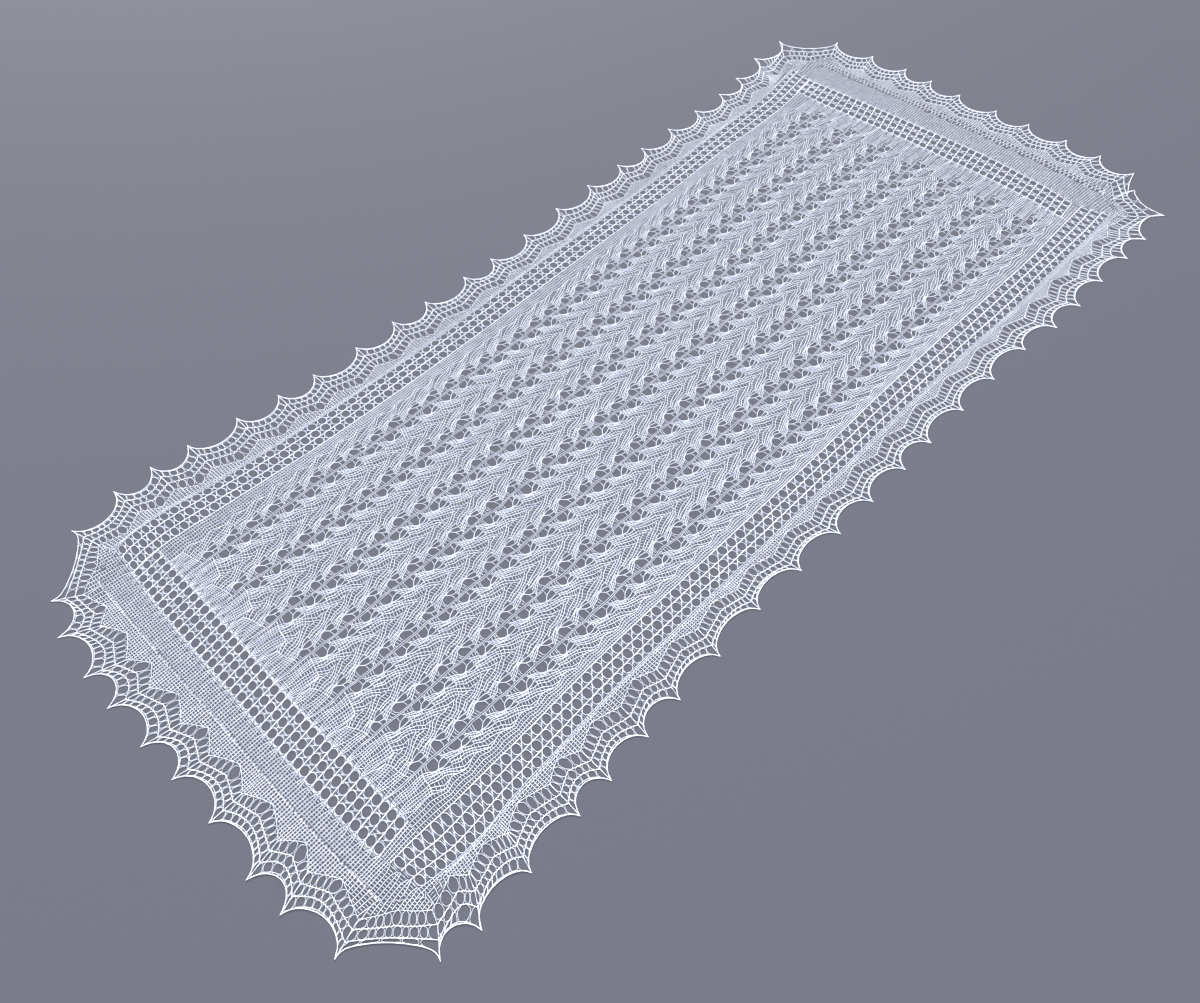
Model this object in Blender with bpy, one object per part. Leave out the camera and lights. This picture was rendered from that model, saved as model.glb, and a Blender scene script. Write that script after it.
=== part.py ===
"""Lace shawl of fine wool, lying flat as it was pinned out to dry.

The centre is knitted in one piece: a panel of waves made by rows of round holes, plain margins, and
a frame of eyelets. The scalloped edging is a long strip, knitted apart and sewn on all around. It is
modelled in four stretches that meet at the middle of the corner scallops.

Plan sizes are in mm, with X across the shawl and Y along it, and the near end at the lowest Y. The
model is in metres, centred on its outline, and it lies on Z = 0.
"""

import math
from collections import namedtuple

import bmesh
import bpy
import numpy as np
from mathutils import Vector
from mathutils.geometry import delaunay_2d_cdt

MM = 0.001

# Heights above the table.
CLOTH = 1.2
RIDGE = 1.9
RIM = 2.2
RIDGE_HALF_WIDTH = 1.6
RIM_WIDTH = 2.0

# The edging's outline, and how round its outer and its inner zigzag are.
SCALLOP_SHARPNESS = 2.5
POINTS_PER_SCALLOP = 6
ZIGZAG_SHARPNESS = (1.9, 1.0)
SEAM_GAP = 0.3

# How far along a side its shorter seam makes the edging fan out towards the corner.
SHORTENING_REACH = 160.0

# The wave panel: columns of fans, each on its spine, and the fans' big holes in level rows.
SPINES = 7
FAN_ROWS = 38
WHOLE_ROWS_AT_EACH_END = 2
FIRST_ROW_Y = 197.0
LAST_ROW_Y = 1459.0
ROW_GROWTH = 0.03
BIG_HOLE_WIDTH = 13.0
BIG_HOLE_LENGTH = 12.0
BIG_HOLE_FROM_SPINE = 8.0

# The hole in each scallop's valley.
VALLEY_HOLE_WIDTH = 12.0
VALLEY_HOLE_MARGIN = 2.2

# The raised bars between the columns of eyelets, as distances in from the seam.
LEFT_BARS = (16.0, 30.0, 46.0)
RIGHT_BARS = (25.0, 38.0, 53.0)
BAR_ENDS_Y = (112.0, 1556.0)
BAR_POINTS = 9

# How the long sides lie: the line of the blocking pins, and the seam inside it.
SideBow = namedtuple("SideBow", "y left right left_seam right_seam")
SIDE_BOW = (
    SideBow(90, 4, 758, 70, 708),
    SideBow(180, -15, 764, 70, 706),
    SideBow(340, -3, 755, 75, 696),
    SideBow(540, 13, 743, 84, 695),
    SideBow(700, 14, 741, 82, 693),
    SideBow(900, 12, 745, 79, 694),
    SideBow(1000, 1, 745, 76, 696),
    SideBow(1150, -2, 746, 72, 699),
    SideBow(1300, -8, 760, 64, 706),
    SideBow(1430, -10, 760, 57, 709),
    SideBow(1560, -37, 762, 37, 712),
    SideBow(1640, -38, 756, 30, 708),
)

# How the two ends lie.
EndBow = namedtuple("EndBow", "x near far near_seam far_seam")
END_BOW = (
    EndBow(50, 26, 1699, 80, 1614),
    EndBow(136, 3, 1708, 77, 1618),
    EndBow(210, -3, 1713, 75, 1620),
    EndBow(330, -1, 1707, 74, 1620),
    EndBow(465, 4, 1710, 74, 1620),
    EndBow(550, -3, 1712, 74, 1620),
    EndBow(605, 0, 1709, 75, 1620),
    EndBow(680, 14, 1702, 78, 1617),
)

# The first and the last spine of the wave panel.
PanelRow = namedtuple("PanelRow", "y first_spine last_spine")
PANEL = (
    PanelRow(100, 172, 588),
    PanelRow(320, 177, 591),
    PanelRow(540, 181, 592),
    PanelRow(970, 176, 596),
    PanelRow(1180, 167, 595),
    PanelRow(1470, 161, 595),
)

# One side of the edging: where its first pin stands along the side, the distances from pin to pin,
# how far its seam stops short of the first and the last pin, how deep its scallops are, and its two
# raised zigzags and its valley hole as shares of the way from the pins to the seam.
Side = namedtuple("Side", "first_pin gaps short_first short_last depth tip_zigzags valley_zigzags hole_end")
NEAR = Side(
    first_pin=82,
    gaps=(54, 73, 56, 71, 60, 72, 81, 55, 75),
    short_first=20,
    short_last=8,
    depth=22,
    tip_zigzags=(0.21, 0.41),
    valley_zigzags=(0.42, 0.60),
    hole_end=0.82,
)
FAR = Side(
    first_pin=50,
    gaps=(79, 73, 57, 64, 76, 65, 73, 66, 65),
    short_first=25,
    short_last=12,
    depth=26,
    tip_zigzags=(0.27, 0.44),
    valley_zigzags=(0.40, 0.56),
    hole_end=0.74,
)
LEFT = Side(
    first_pin=95,
    gaps=(71, 56, 56, 75, 65, 59, 77, 71, 62, 78, 58, 76, 82, 79, 75, 63, 74, 74, 70, 61, 75, 79),
    short_first=17,
    short_last=44,
    depth=26,
    tip_zigzags=(0.32, 0.55),
    valley_zigzags=(0.49, 0.67),
    hole_end=0.90,
)
RIGHT = Side(
    first_pin=85,
    gaps=(48, 73, 77, 52, 65, 58, 74, 82, 78, 78, 70, 73, 62, 80, 80, 81, 71, 65, 72, 74, 61, 75),
    short_first=27,
    short_last=44,
    depth=20,
    tip_zigzags=(0.33, 0.55),
    valley_zigzags=(0.54, 0.72),
    hole_end=0.97,
)

# The wide scallops around the corners, in the order in which a walk around the shawl meets them:
# how deep each is, and its zigzags as for a side.
Corner = namedtuple("Corner", "depth zigzags")
CORNERS = (
    Corner(depth=18, zigzags=(0.54, 0.70)),
    Corner(depth=20, zigzags=(0.46, 0.64)),
    Corner(depth=25, zigzags=(0.52, 0.68)),
    Corner(depth=15, zigzags=(0.52, 0.70)),
)

# Colours of the yarn, as linear RGB, and its roughness.
WOOL_CENTRE = (0.78, 0.81, 0.88)
WOOL_EDGING = (0.83, 0.86, 0.92)
WOOL_ROUGHNESS = 0.9


def clear_scene():
    for thing in list(bpy.data.objects):
        bpy.data.objects.remove(thing, do_unlink=True)


def smooth(table, column, along):
    """A column of a table read off at a place between its rows, along a smooth curve."""
    places = np.array([row[0] for row in table], dtype=float)
    values = np.array([getattr(row, column) for row in table], dtype=float)
    slopes = np.gradient(values, places)
    along = min(max(along, places[0]), places[-1])
    row = min(int(np.searchsorted(places, along, side="right")) - 1, len(places) - 2)
    step = places[row + 1] - places[row]
    t = (along - places[row]) / step
    return float(
        values[row] * (1 + 2 * t) * (1 - t) ** 2
        + slopes[row] * step * t * (1 - t) ** 2
        + values[row + 1] * t * t * (3 - 2 * t)
        - slopes[row + 1] * step * t * t * (1 - t)
    )


def pin_line(side, along):
    """The point of a side's line of pins at a distance along it."""
    if side is NEAR:
        return Vector((along, smooth(END_BOW, "near", along)))
    if side is FAR:
        return Vector((along, smooth(END_BOW, "far", along)))
    if side is LEFT:
        return Vector((smooth(SIDE_BOW, "left", along), along))
    return Vector((smooth(SIDE_BOW, "right", along), along))


def seam_line(side, along):
    """The point of a side's seam at a distance along it."""
    if side is NEAR:
        return Vector((along, smooth(END_BOW, "near_seam", along)))
    if side is FAR:
        return Vector((along, smooth(END_BOW, "far_seam", along)))
    if side is LEFT:
        return Vector((smooth(SIDE_BOW, "left_seam", along), along))
    return Vector((smooth(SIDE_BOW, "right_seam", along), along))


def pin_places(side):
    """Where the pins stand along a side."""
    return np.cumsum((side.first_pin,) + side.gaps).tolist()


# A walk around the shawl against the clock, seen from above: each side, and whether it is walked
# towards its first pin. A station is a pin's number in this walk, with a share of the way to the next.
WALK = ((NEAR, False), (RIGHT, False), (FAR, True), (LEFT, True))


class Walk:
    """The pins in the order of the walk, with the side and the scallop depth of each."""

    def __init__(self):
        self.pins = []
        self.places = []
        self.sides = []
        self.corners = []
        for side, backwards in WALK:
            places = pin_places(side)
            if backwards:
                places.reverse()
            for place in places:
                self.pins.append(pin_line(side, place))
                self.places.append(place)
                self.sides.append(side)
            self.corners.append(len(self.pins) - 1)
        self.count = len(self.pins)

    def split(self, station):
        first = math.floor(station)
        return first % self.count, (first + 1) % self.count, station - first

    def corner_of(self, first):
        """The corner whose wide scallop starts at a pin, or None."""
        return CORNERS[self.corners.index(first)] if first in self.corners else None

    def chord(self, station):
        first, second, share = self.split(station)
        return self.pins[first].lerp(self.pins[second], share)

    def edge(self, station):
        """The scalloped outer edge: an arc that hangs in from pin to pin."""
        first, second, share = self.split(station)
        across = self.pins[second] - self.pins[first]
        inward = Vector((-across.y, across.x)).normalized()
        corner = self.corner_of(first)
        depth = corner.depth if corner else self.sides[first].depth
        hang = 1 - abs(2 * share - 1) ** SCALLOP_SHARPNESS
        return self.pins[first].lerp(self.pins[second], share) + inward * depth * hang

    def seam_on_side(self, side, place):
        """The seam's point for a place on a side: it draws away from the side's ends."""
        places = pin_places(side)
        near_first = max(0.0, 1 - (place - places[0]) / SHORTENING_REACH) ** 2
        near_last = max(0.0, 1 - (places[-1] - place) / SHORTENING_REACH) ** 2
        return seam_line(side, place + side.short_first * near_first - side.short_last * near_last)

    def seam(self, station):
        """The seam that joins the edging to the centre, with its corners rounded."""
        first, second, share = self.split(station)
        here = self.seam_on_side(self.sides[first], self.places[first])
        there = self.seam_on_side(self.sides[second], self.places[second])
        if self.corner_of(first) is None:
            place = self.places[first] + (self.places[second] - self.places[first]) * share
            return self.seam_on_side(self.sides[first], place)
        level = here if self.sides[first] in (NEAR, FAR) else there
        upright = there if level is here else here
        corner = Vector((upright.x, level.y))
        return here.lerp(corner, share).lerp(corner.lerp(there, share), share)

    def between(self, station, share, inward=0.0):
        """A point on the way from the pins to the seam, and a distance further in."""
        start = self.chord(station)
        way = self.seam(station) - start
        return start + way * share + way.normalized() * inward

    def zigzag_share(self, station, number):
        """How far in a zigzag runs: it swings between the tips and the valleys."""
        first, _, share = self.split(station)
        tip = self.sides[first].tip_zigzags[number]
        corner = self.corner_of(first)
        valley = corner.zigzags[number] if corner else self.sides[first].valley_zigzags[number]
        return tip + (valley - tip) * (1 - abs(2 * share - 1) ** ZIGZAG_SHARPNESS[number])


def plate(name, outline, holes, ridges, rim, material):
    """A closed flat piece with a plain underside.

    outline is a loop of points against the clock, holes are loops with the clock, ridges are lines
    of (point, height), and rim is the height of each outline point.
    """
    loops = [outline] + holes
    flat_points = [point for loop in loops for point in loop]
    heights = list(rim) + [CLOTH] * sum(len(hole) for hole in holes)
    walls = []
    owner = []
    start = 0
    for number, loop in enumerate(loops):
        walls += [(start + i, start + (i + 1) % len(loop)) for i in range(len(loop))]
        owner += [number] * len(loop)
        start += len(loop)

    top_points = list(flat_points)
    top_lines = list(walls)
    for ridge in ridges:
        first = len(top_points)
        top_points += [point for point, _ in ridge]
        heights += [height for _, height in ridge]
        owner += [-1 - len(top_lines)] * len(ridge)
        top_lines += [(first + i, first + i + 1) for i in range(len(ridge) - 1)]

    mesh = bmesh.new()
    top = [mesh.verts.new((p.x * MM, p.y * MM, h * MM)) for p, h in zip(top_points, heights)]
    bottom = [mesh.verts.new((p.x * MM, p.y * MM, 0.0)) for p in flat_points]
    for triangle in triangles_of(top_points, top_lines, outline, owner):
        mesh.faces.new([top[i] for i in triangle])
    for triangle in triangles_of(flat_points, walls, outline, owner):
        mesh.faces.new([bottom[i] for i in reversed(triangle)])
    for a, b in walls:
        mesh.faces.new((top[a], bottom[a], bottom[b]))
        mesh.faces.new((top[a], bottom[b], top[b]))
    data = bpy.data.meshes.new(name)
    mesh.to_mesh(data)
    mesh.free()
    data.materials.append(material)
    piece = bpy.data.objects.new(name, data)
    bpy.context.collection.objects.link(piece)
    return piece


def triangles_of(points, lines, outline, owner):
    """Triangles between the lines, inside the outline and outside the holes."""
    found, _, faces, came_from, _, _ = delaunay_2d_cdt(points, lines, [], 0, 1e-5)
    if len(found) != len(points):
        raise ValueError("lines of a piece cross or touch")
    source = [origins[0] for origins in came_from]
    border = np.array([(p.x, p.y) for p in outline])
    kept = []
    for face in faces:
        triangle = [source[i] for i in face]
        owners = {owner[i] for i in triangle}
        if len(owners) == 1 and owners.pop() > 0:
            continue
        middle = (points[triangle[0]] + points[triangle[1]] + points[triangle[2]]) / 3
        if is_inside(middle, border):
            kept.append(triangle)
    return kept


def is_inside(point, border):
    """Whether a line from the point to the right crosses the border an odd number of times."""
    x1, y1 = border[:, 0], border[:, 1]
    x2, y2 = np.roll(x1, -1), np.roll(y1, -1)
    spans = (y1 > point.y) != (y2 > point.y)
    rise = np.where(y2 == y1, 1.0, y2 - y1)
    crossing = x1 + (point.y - y1) / rise * (x2 - x1)
    return bool(np.count_nonzero(spans & (crossing > point.x)) % 2)


def ring(middle, across, along, width, length):
    """A six-sided hole, with the clock, with a corner at each end of its length."""
    shape = ((0.0, 0.5), (0.5, 0.25), (0.5, -0.25), (0.0, -0.5), (-0.5, -0.25), (-0.5, 0.25))
    return [middle + across * width * x + along * length * y for x, y in shape]


def row_y(row):
    """The height of a row of big holes along the panel. The rows open out towards the far end."""
    share = row / (FAN_ROWS - 1)
    return FIRST_ROW_Y + (LAST_ROW_Y - FIRST_ROW_Y) * share * (1 - ROW_GROWTH + ROW_GROWTH * share)


def spine_x(number, y):
    first = smooth(PANEL, "first_spine", y)
    last = smooth(PANEL, "last_spine", y)
    return first + (last - first) * number / (SPINES - 1)


def panel_holes():
    """The big hole on the left of each spine, row by row."""
    across = Vector((1, 0))
    along = Vector((0, 1))
    holes = []
    for row in range(WHOLE_ROWS_AT_EACH_END, FAN_ROWS - WHOLE_ROWS_AT_EACH_END):
        y = row_y(row)
        for number in range(SPINES):
            middle = Vector((spine_x(number, y) - BIG_HOLE_FROM_SPINE, y))
            holes.append(ring(middle, across, along, BIG_HOLE_WIDTH, BIG_HOLE_LENGTH))
    return holes


def bar_lines():
    """The raised bars beside the columns of eyelets: a crest with a foot on each side."""
    lines = []
    for side, bars, inward in ((LEFT, LEFT_BARS, 1), (RIGHT, RIGHT_BARS, -1)):
        for bar in bars:
            for foot, height in ((-1, CLOTH), (0, RIDGE), (1, CLOTH)):
                line = []
                for y in np.linspace(*BAR_ENDS_Y, BAR_POINTS):
                    x = seam_line(side, y).x + inward * bar + foot * RIDGE_HALF_WIDTH
                    line.append((Vector((x, y)), height))
                lines.append(line)
    return lines


def offset_loop(points, distance):
    """A closed loop against the clock, moved in by a distance."""
    moved = []
    for i, point in enumerate(points):
        along = (points[(i + 1) % len(points)] - points[i - 1]).normalized()
        moved.append(point + Vector((-along.y, along.x)) * distance)
    return moved


def seam_stations(walk, start, end):
    """Stations of the seam's points: each pin, and closer together around the corners."""
    stations = []
    for pin in range(math.floor(start), math.floor(end) + 1):
        stations.append(float(pin))
        if walk.corner_of(pin % walk.count):
            stations += [pin + 0.25, pin + 0.5, pin + 0.75]
    return [start] + [s for s in stations if start < s < end] + [end]


def make_centre(walk, material):
    stations = seam_stations(walk, 0.0, float(walk.count))[:-1]
    outline = offset_loop([walk.seam(s) for s in stations], SEAM_GAP / 2)
    heights = [CLOTH] * len(outline)
    return plate("centre", outline, panel_holes(), bar_lines(), heights, material)


def valley_hole(walk, scallop, side):
    """The large hole at the foot of a scallop, between its inner zigzag and the seam."""
    station = scallop + 0.5
    outer = walk.between(station, side.valley_zigzags[1], VALLEY_HOLE_MARGIN)
    inner = walk.between(station, side.hole_end)
    along = (outer - inner).normalized()
    across = Vector((along.y, -along.x))
    length = (outer - inner).length
    return ring((outer + inner) / 2, across, along, VALLEY_HOLE_WIDTH, length)


def zigzag_lines(walk, start, end):
    """The raised zigzags of a stretch of edging: an outer crest, and an inner one between its feet."""
    outer_crest = []
    for quarter in range(int(start * 4) + 1, int(end * 4)):
        station = quarter / 4
        outer_crest.append((walk.between(station, walk.zigzag_share(station, 0)), RIDGE))
    lines = [outer_crest]
    for foot, height in ((-1, CLOTH), (0, RIDGE), (1, CLOTH)):
        line = []
        for half in range(int(start * 2) + 1, int(end * 2)):
            station = half / 2
            share = walk.zigzag_share(station, 1)
            line.append((walk.between(station, share, foot * RIDGE_HALF_WIDTH), height))
        lines.append(line)
    return lines


def make_edging(walk, name, start, end, side, material):
    """A stretch of edging between the middles of two corner scallops."""
    step = 1 / POINTS_PER_SCALLOP
    outer_stations = [start + i * step for i in range(round((end - start) / step) + 1)]
    outer = [walk.edge(s) for s in outer_stations]
    seam = [walk.seam(s) for s in seam_stations(walk, start, end)]
    for line in (outer, seam):
        line[0] = line[0] + (line[1] - line[0]).normalized() * SEAM_GAP / 2
        line[-1] = line[-1] + (line[-2] - line[-1]).normalized() * SEAM_GAP / 2
    inner = []
    for i, point in enumerate(seam):
        along = (seam[min(i + 1, len(seam) - 1)] - seam[max(i - 1, 0)]).normalized()
        inner.append(point - Vector((-along.y, along.x)) * SEAM_GAP / 2)
    outline = outer + inner[::-1]
    heights = [RIM] * len(outer) + [CLOTH] * len(inner)
    foot_stations = outer_stations[1:-1]
    foot = [(walk.edge(s) + (walk.seam(s) - walk.edge(s)).normalized() * RIM_WIDTH, CLOTH) for s in foot_stations]
    scallops = range(math.ceil(start), math.floor(end))
    holes = [valley_hole(walk, scallop, side) for scallop in scallops]
    ridges = [foot] + zigzag_lines(walk, start, end)
    return plate(name, outline, holes, ridges, heights, material)


def wool(name, colour):
    material = bpy.data.materials.new(name)
    material.use_nodes = True
    shader = material.node_tree.nodes["Principled BSDF"]
    shader.inputs["Base Color"].default_value = (*colour, 1.0)
    shader.inputs["Roughness"].default_value = WOOL_ROUGHNESS
    shader.inputs["Metallic"].default_value = 0.0
    return material


def centre_on_origin(pieces):
    """Moves the shawl so that the middle of its outline is over the origin."""
    corners = [Vector(v.co) for piece in pieces for v in piece.data.vertices]
    low = Vector([min(c[i] for c in corners) for i in range(3)])
    high = Vector([max(c[i] for c in corners) for i in range(3)])
    for piece in pieces:
        piece.location = (-(low.x + high.x) / 2, -(low.y + high.y) / 2, 0.0)


def main():
    clear_scene()
    walk = Walk()
    edging_wool = wool("edging_wool", WOOL_EDGING)
    pieces = [make_centre(walk, wool("centre_wool", WOOL_CENTRE))]
    starts = [-0.5] + [corner + 0.5 for corner in walk.corners]
    names = ("edging_near", "edging_right", "edging_far", "edging_left")
    for number, name in enumerate(names):
        side = WALK[number][0]
        start, end = starts[number], starts[number + 1]
        pieces.append(make_edging(walk, name, start, end, side, edging_wool))
    centre_on_origin(pieces)


main()
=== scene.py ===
"""Lace shawl of fine white wool, pinned out flat.

The yarn itself is laid here, thread by thread, over the plan that the CAD gives: the wave panel,
its plain margins, the frame of eyelets, the borders, and the scalloped edging. Plan sizes are in
mm, with X across the shawl and Y along it from the near end.
"""

import math
from collections import namedtuple

import bpy
import numpy as np
from mathutils import Matrix, Vector


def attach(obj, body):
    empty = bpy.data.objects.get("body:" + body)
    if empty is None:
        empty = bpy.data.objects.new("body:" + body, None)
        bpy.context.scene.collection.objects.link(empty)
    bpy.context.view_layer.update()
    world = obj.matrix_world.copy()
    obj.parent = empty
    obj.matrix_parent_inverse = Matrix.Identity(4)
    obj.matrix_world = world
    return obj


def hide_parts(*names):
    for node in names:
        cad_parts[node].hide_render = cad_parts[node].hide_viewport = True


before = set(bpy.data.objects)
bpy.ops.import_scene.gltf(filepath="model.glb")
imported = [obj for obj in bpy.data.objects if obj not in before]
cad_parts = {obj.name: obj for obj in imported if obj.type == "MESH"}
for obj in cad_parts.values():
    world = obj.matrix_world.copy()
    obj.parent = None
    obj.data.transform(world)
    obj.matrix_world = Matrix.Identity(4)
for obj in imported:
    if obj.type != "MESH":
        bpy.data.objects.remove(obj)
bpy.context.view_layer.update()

MM = 0.001


def table_of(fields, *rows):
    """A table whose values go by the names of its fields."""
    Row = namedtuple("Row", fields)
    return tuple(Row(*row) for row in rows)


# ---------------------------------------------------------------------------------------------
# Plan of the shawl, as the CAD has it
# ---------------------------------------------------------------------------------------------

# The edge of a scallop springs in from its pins as a spike, and then hangs as an arc.
SPIKE = 8.0
SPIKE_REACH = 4.5
# How far in the cells reach their full lean along the side, as a share of the edging's depth.
LEAN_DEPTH = 0.6
# How the outer and the inner zigzag round their valleys, and how the plain teeth round theirs.
ZIGZAG_SHARPNESS = (1.9, 1.0)
TOOTH_SHARPNESS = 1.15
CORNER_TOOTH_SHARPNESS = 1.6
# The seam is shorter than the line of pins. The difference lies within this reach of each corner.
SHORTENING_REACH = 160.0
# The wave panel: columns of fans, each on its spine, in rows that open out towards the far end.
SPINES = 7
FAN_ROWS = 38
FIRST_ROW_Y = 197.0
LAST_ROW_Y = 1459.0
ROW_GROWTH = 0.03

# The line of pins and the seam along each long side, and then along each end.
SIDE_BOW = table_of(
    "y left right left_seam right_seam",
    (90, 5, 758, 70, 702),
    (130, -8, 766, 65, 697),
    (180, -15, 764, 61, 698),
    (240, -13, 759, 67, 693),
    (340, -3, 754, 76, 688),
    (430, 7, 747, 81, 684),
    (540, 13, 743, 84, 685),
    (620, 10, 738, 83, 686),
    (700, 14, 741, 82, 687),
    (900, 12, 745, 76, 687),
    (1000, 1, 745, 75, 687),
    (1150, -2, 746, 70, 690),
    (1220, -4, 748, 66, 692),
    (1300, -8, 760, 62, 696),
    (1430, -10, 759, 57, 696),
    (1500, -24, 762, 50, 697),
    (1560, -37, 762, 41, 697),
    (1640, -38, 756, 30, 702),
)

END_BOW = table_of(
    "x near far near_seam far_seam",
    (50, 37, 1701, 80, 1614),
    (82, 24, 1705, 79, 1616),
    (136, 4, 1708, 77, 1618),
    (210, -2, 1713, 76, 1621),
    (330, -1, 1707, 76, 1624),
    (465, 4, 1710, 75, 1624),
    (550, -3, 1712, 75, 1622),
    (605, 1, 1710, 76, 1620),
    (680, 14, 1702, 80, 1614),
)

# The first and the last spine, which bow with the sides.
PANEL = table_of(
    "y first_spine last_spine",
    (100, 172, 588),
    (320, 177, 591),
    (540, 181, 592),
    (970, 176, 596),
    (1180, 167, 595),
    (1470, 161, 595),
)

# Bars between the columns of eyelets along the sides: three columns at each side.
BARS = table_of(
    "y outer_left left_1 left_2 left_3 right_3 right_2 right_1 outer_right",
    (112, 76, 90, 106, 122, 646, 661, 675, 688),
    (140, 66, 82, 99, 114, 645, 662, 678, 692),
    (160, 65, 80, 97, 112, 645, 664, 681, 694),
    (200, 66, 80, 97, 113, 646, 663, 680, 694),
    (240, 72, 84, 100, 116, 645, 660, 676, 689),
    (320, 79, 92, 108, 121, 643, 657, 672, 685),
    (400, 84, 97, 112, 126, 640, 654, 669, 681),
    (550, 88, 100, 113, 128, 640, 654, 668, 680),
    (700, 87, 98, 112, 127, 642, 657, 670, 682),
    (850, 81, 94, 109, 122, 643, 657, 671, 682),
    (1000, 79, 91, 105, 119, 642, 657, 671, 682),
    (1150, 75, 86, 100, 114, 644, 660, 674, 685),
    (1300, 66, 79, 93, 107, 648, 663, 679, 691),
    (1400, 63, 75, 91, 106, 650, 665, 679, 691),
    (1480, 57, 70, 85, 101, 648, 665, 680, 692),
    (1520, 51, 62, 79, 95, 647, 664, 680, 692),
    (1580, 42, 51, 68, 85, 645, 661, 678, 691),
)

# The spacing of the eyelets along the sides, and how far each column's stand above those of the
# column inside it.
PITCHES = table_of(
    "y pitch left_rise right_rise",
    (118, 12.5, 0.8, 1.4),
    (160, 12.6, 1.0, 1.8),
    (200, 14.2, 2.2, 2.2),
    (250, 15.5, 3.7, 2.4),
    (300, 15.7, 3.8, 2.6),
    (360, 16.8, 3.8, 3.0),
    (500, 17.2, 3.8, 3.6),
    (1000, 17.2, 4.0, 4.0),
    (1300, 17.2, 5.0, 5.5),
    (1460, 16.6, 5.4, 6.8),
    (1510, 15.2, 4.6, 5.8),
    (1570, 15.0, 3.4, 4.6),
)

# The three rows of eyelets of an end, by their heights.
NEAR_ROWS = table_of(
    "x outer middle inner",
    (80, 125, 137.5, 150),
    (126, 121, 134, 149.5),
    (200, 116.5, 133, 149),
    (340, 113, 129.5, 145),
    (465, 109.5, 126, 142.5),
    (525, 109.5, 126, 143),
    (624, 113, 130.5, 145),
    (684, 121.5, 134, 147),
)
FAR_ROWS = table_of(
    "x outer middle inner",
    (50, 1563.5, 1549.5, 1535.5),
    (85, 1557, 1541.5, 1525.5),
    (110, 1558, 1541, 1524.5),
    (200, 1563.5, 1545, 1527.5),
    (345, 1569.5, 1551.5, 1534.5),
    (430, 1572.5, 1554, 1535.5),
    (530, 1569.5, 1552.5, 1534.5),
    (600, 1563, 1548, 1530.5),
    (628, 1557, 1543.5, 1526),
    (690, 1568, 1552, 1536),
)

# An end's bars, where they cross its middle row, and how far they slant for each mm of height.
Slant = namedtuple("Slant", "x slant")
End = namedtuple("End", "rows first_bar last_bar slants outward")
NEAR_END = End(NEAR_ROWS, 116.4, 628.5, (Slant(100, 0.16), Slant(640, 0.16)), -1)
FAR_END = End(
    FAR_ROWS,
    89.5,
    632.0,
    (Slant(90, 0.16), Slant(200, 0.28), Slant(420, 0.17), Slant(520, 0.12), Slant(640, 0.12)),
    1,
)
EYELETS_IN_ROW = 40
EYELETS_IN_COLUMN = 87

# One side of the edging, as in the CAD. gaps are the steps from pin to pin, and skews are how far
# the deepest cells of each scallop lie past its middle along the side, both in mm. Zigzags, the
# cells' inner end and the plain teeth lie at shares of the way from the pins to the seam.
Side = namedtuple(
    "Side",
    "first_pin gaps skews short_first short_last depth tip_zigzags valley_zigzags hole_end tooth",
)
NEAR = Side(
    first_pin=82,
    gaps=(54, 73, 56, 71, 60, 72, 81, 55, 75),
    skews=(19, 17, 14, 10, 7, 4, -7, -12, -15),
    short_first=20,
    short_last=8,
    depth=23,
    tip_zigzags=(0.25, 0.44),
    valley_zigzags=(0.44, 0.60),
    hole_end=0.84,
    tooth=0.60,
)
FAR = Side(
    first_pin=50,
    gaps=(79, 73, 57, 64, 76, 65, 73, 66, 65),
    skews=(14, 4, -2, -2, -3, -7, -8, -13, -19),
    short_first=25,
    short_last=12,
    depth=26,
    tip_zigzags=(0.25, 0.44),
    valley_zigzags=(0.43, 0.58),
    hole_end=0.73,
    tooth=0.57,
)
LEFT = Side(
    first_pin=95,
    gaps=(71, 56, 56, 75, 65, 59, 77, 71, 62, 78, 58, 76, 82, 79, 75, 63, 74, 74, 70, 61, 75, 79),
    skews=(2, 0, 3, 1, -4, 0, 0, -5, -4, -2, 2, 0, -3, -9, -18, -18, -14, -12, -18, -17, -14, -28),
    short_first=17,
    short_last=44,
    depth=26,
    tip_zigzags=(0.32, 0.53),
    valley_zigzags=(0.50, 0.69),
    hole_end=0.93,
    tooth=0.73,
)
RIGHT = Side(
    first_pin=85,
    gaps=(48, 73, 77, 52, 65, 58, 74, 82, 78, 78, 70, 73, 62, 80, 80, 81, 71, 65, 72, 74, 61, 75),
    skews=(18, 16, 3, 1, 1, 9, 10, 8, -3, -5, -8, -6, -4, 0, -5, -8, -14, -12, -16, -24, -26, -24),
    short_first=27,
    short_last=44,
    depth=21,
    tip_zigzags=(0.28, 0.49),
    valley_zigzags=(0.46, 0.66),
    hole_end=0.93,
    tooth=0.74,
)

# The corner scallops in the order of the walk; rounding pulls the seam's corner in, up to 1, where
# the seam runs straight across.
Corner = namedtuple("Corner", "depth zigzags hole_end rounding")
CORNERS = (
    Corner(depth=16, zigzags=(0.36, 0.57), hole_end=0.83, rounding=1.0),
    Corner(depth=21, zigzags=(0.50, 0.65), hole_end=0.87, rounding=1.0),
    Corner(depth=23, zigzags=(0.44, 0.66), hole_end=0.86, rounding=0.8),
    Corner(depth=16, zigzags=(0.37, 0.53), hole_end=0.85, rounding=0.9),
)

WALK = ((NEAR, False), (RIGHT, False), (FAR, True), (LEFT, True))


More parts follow.
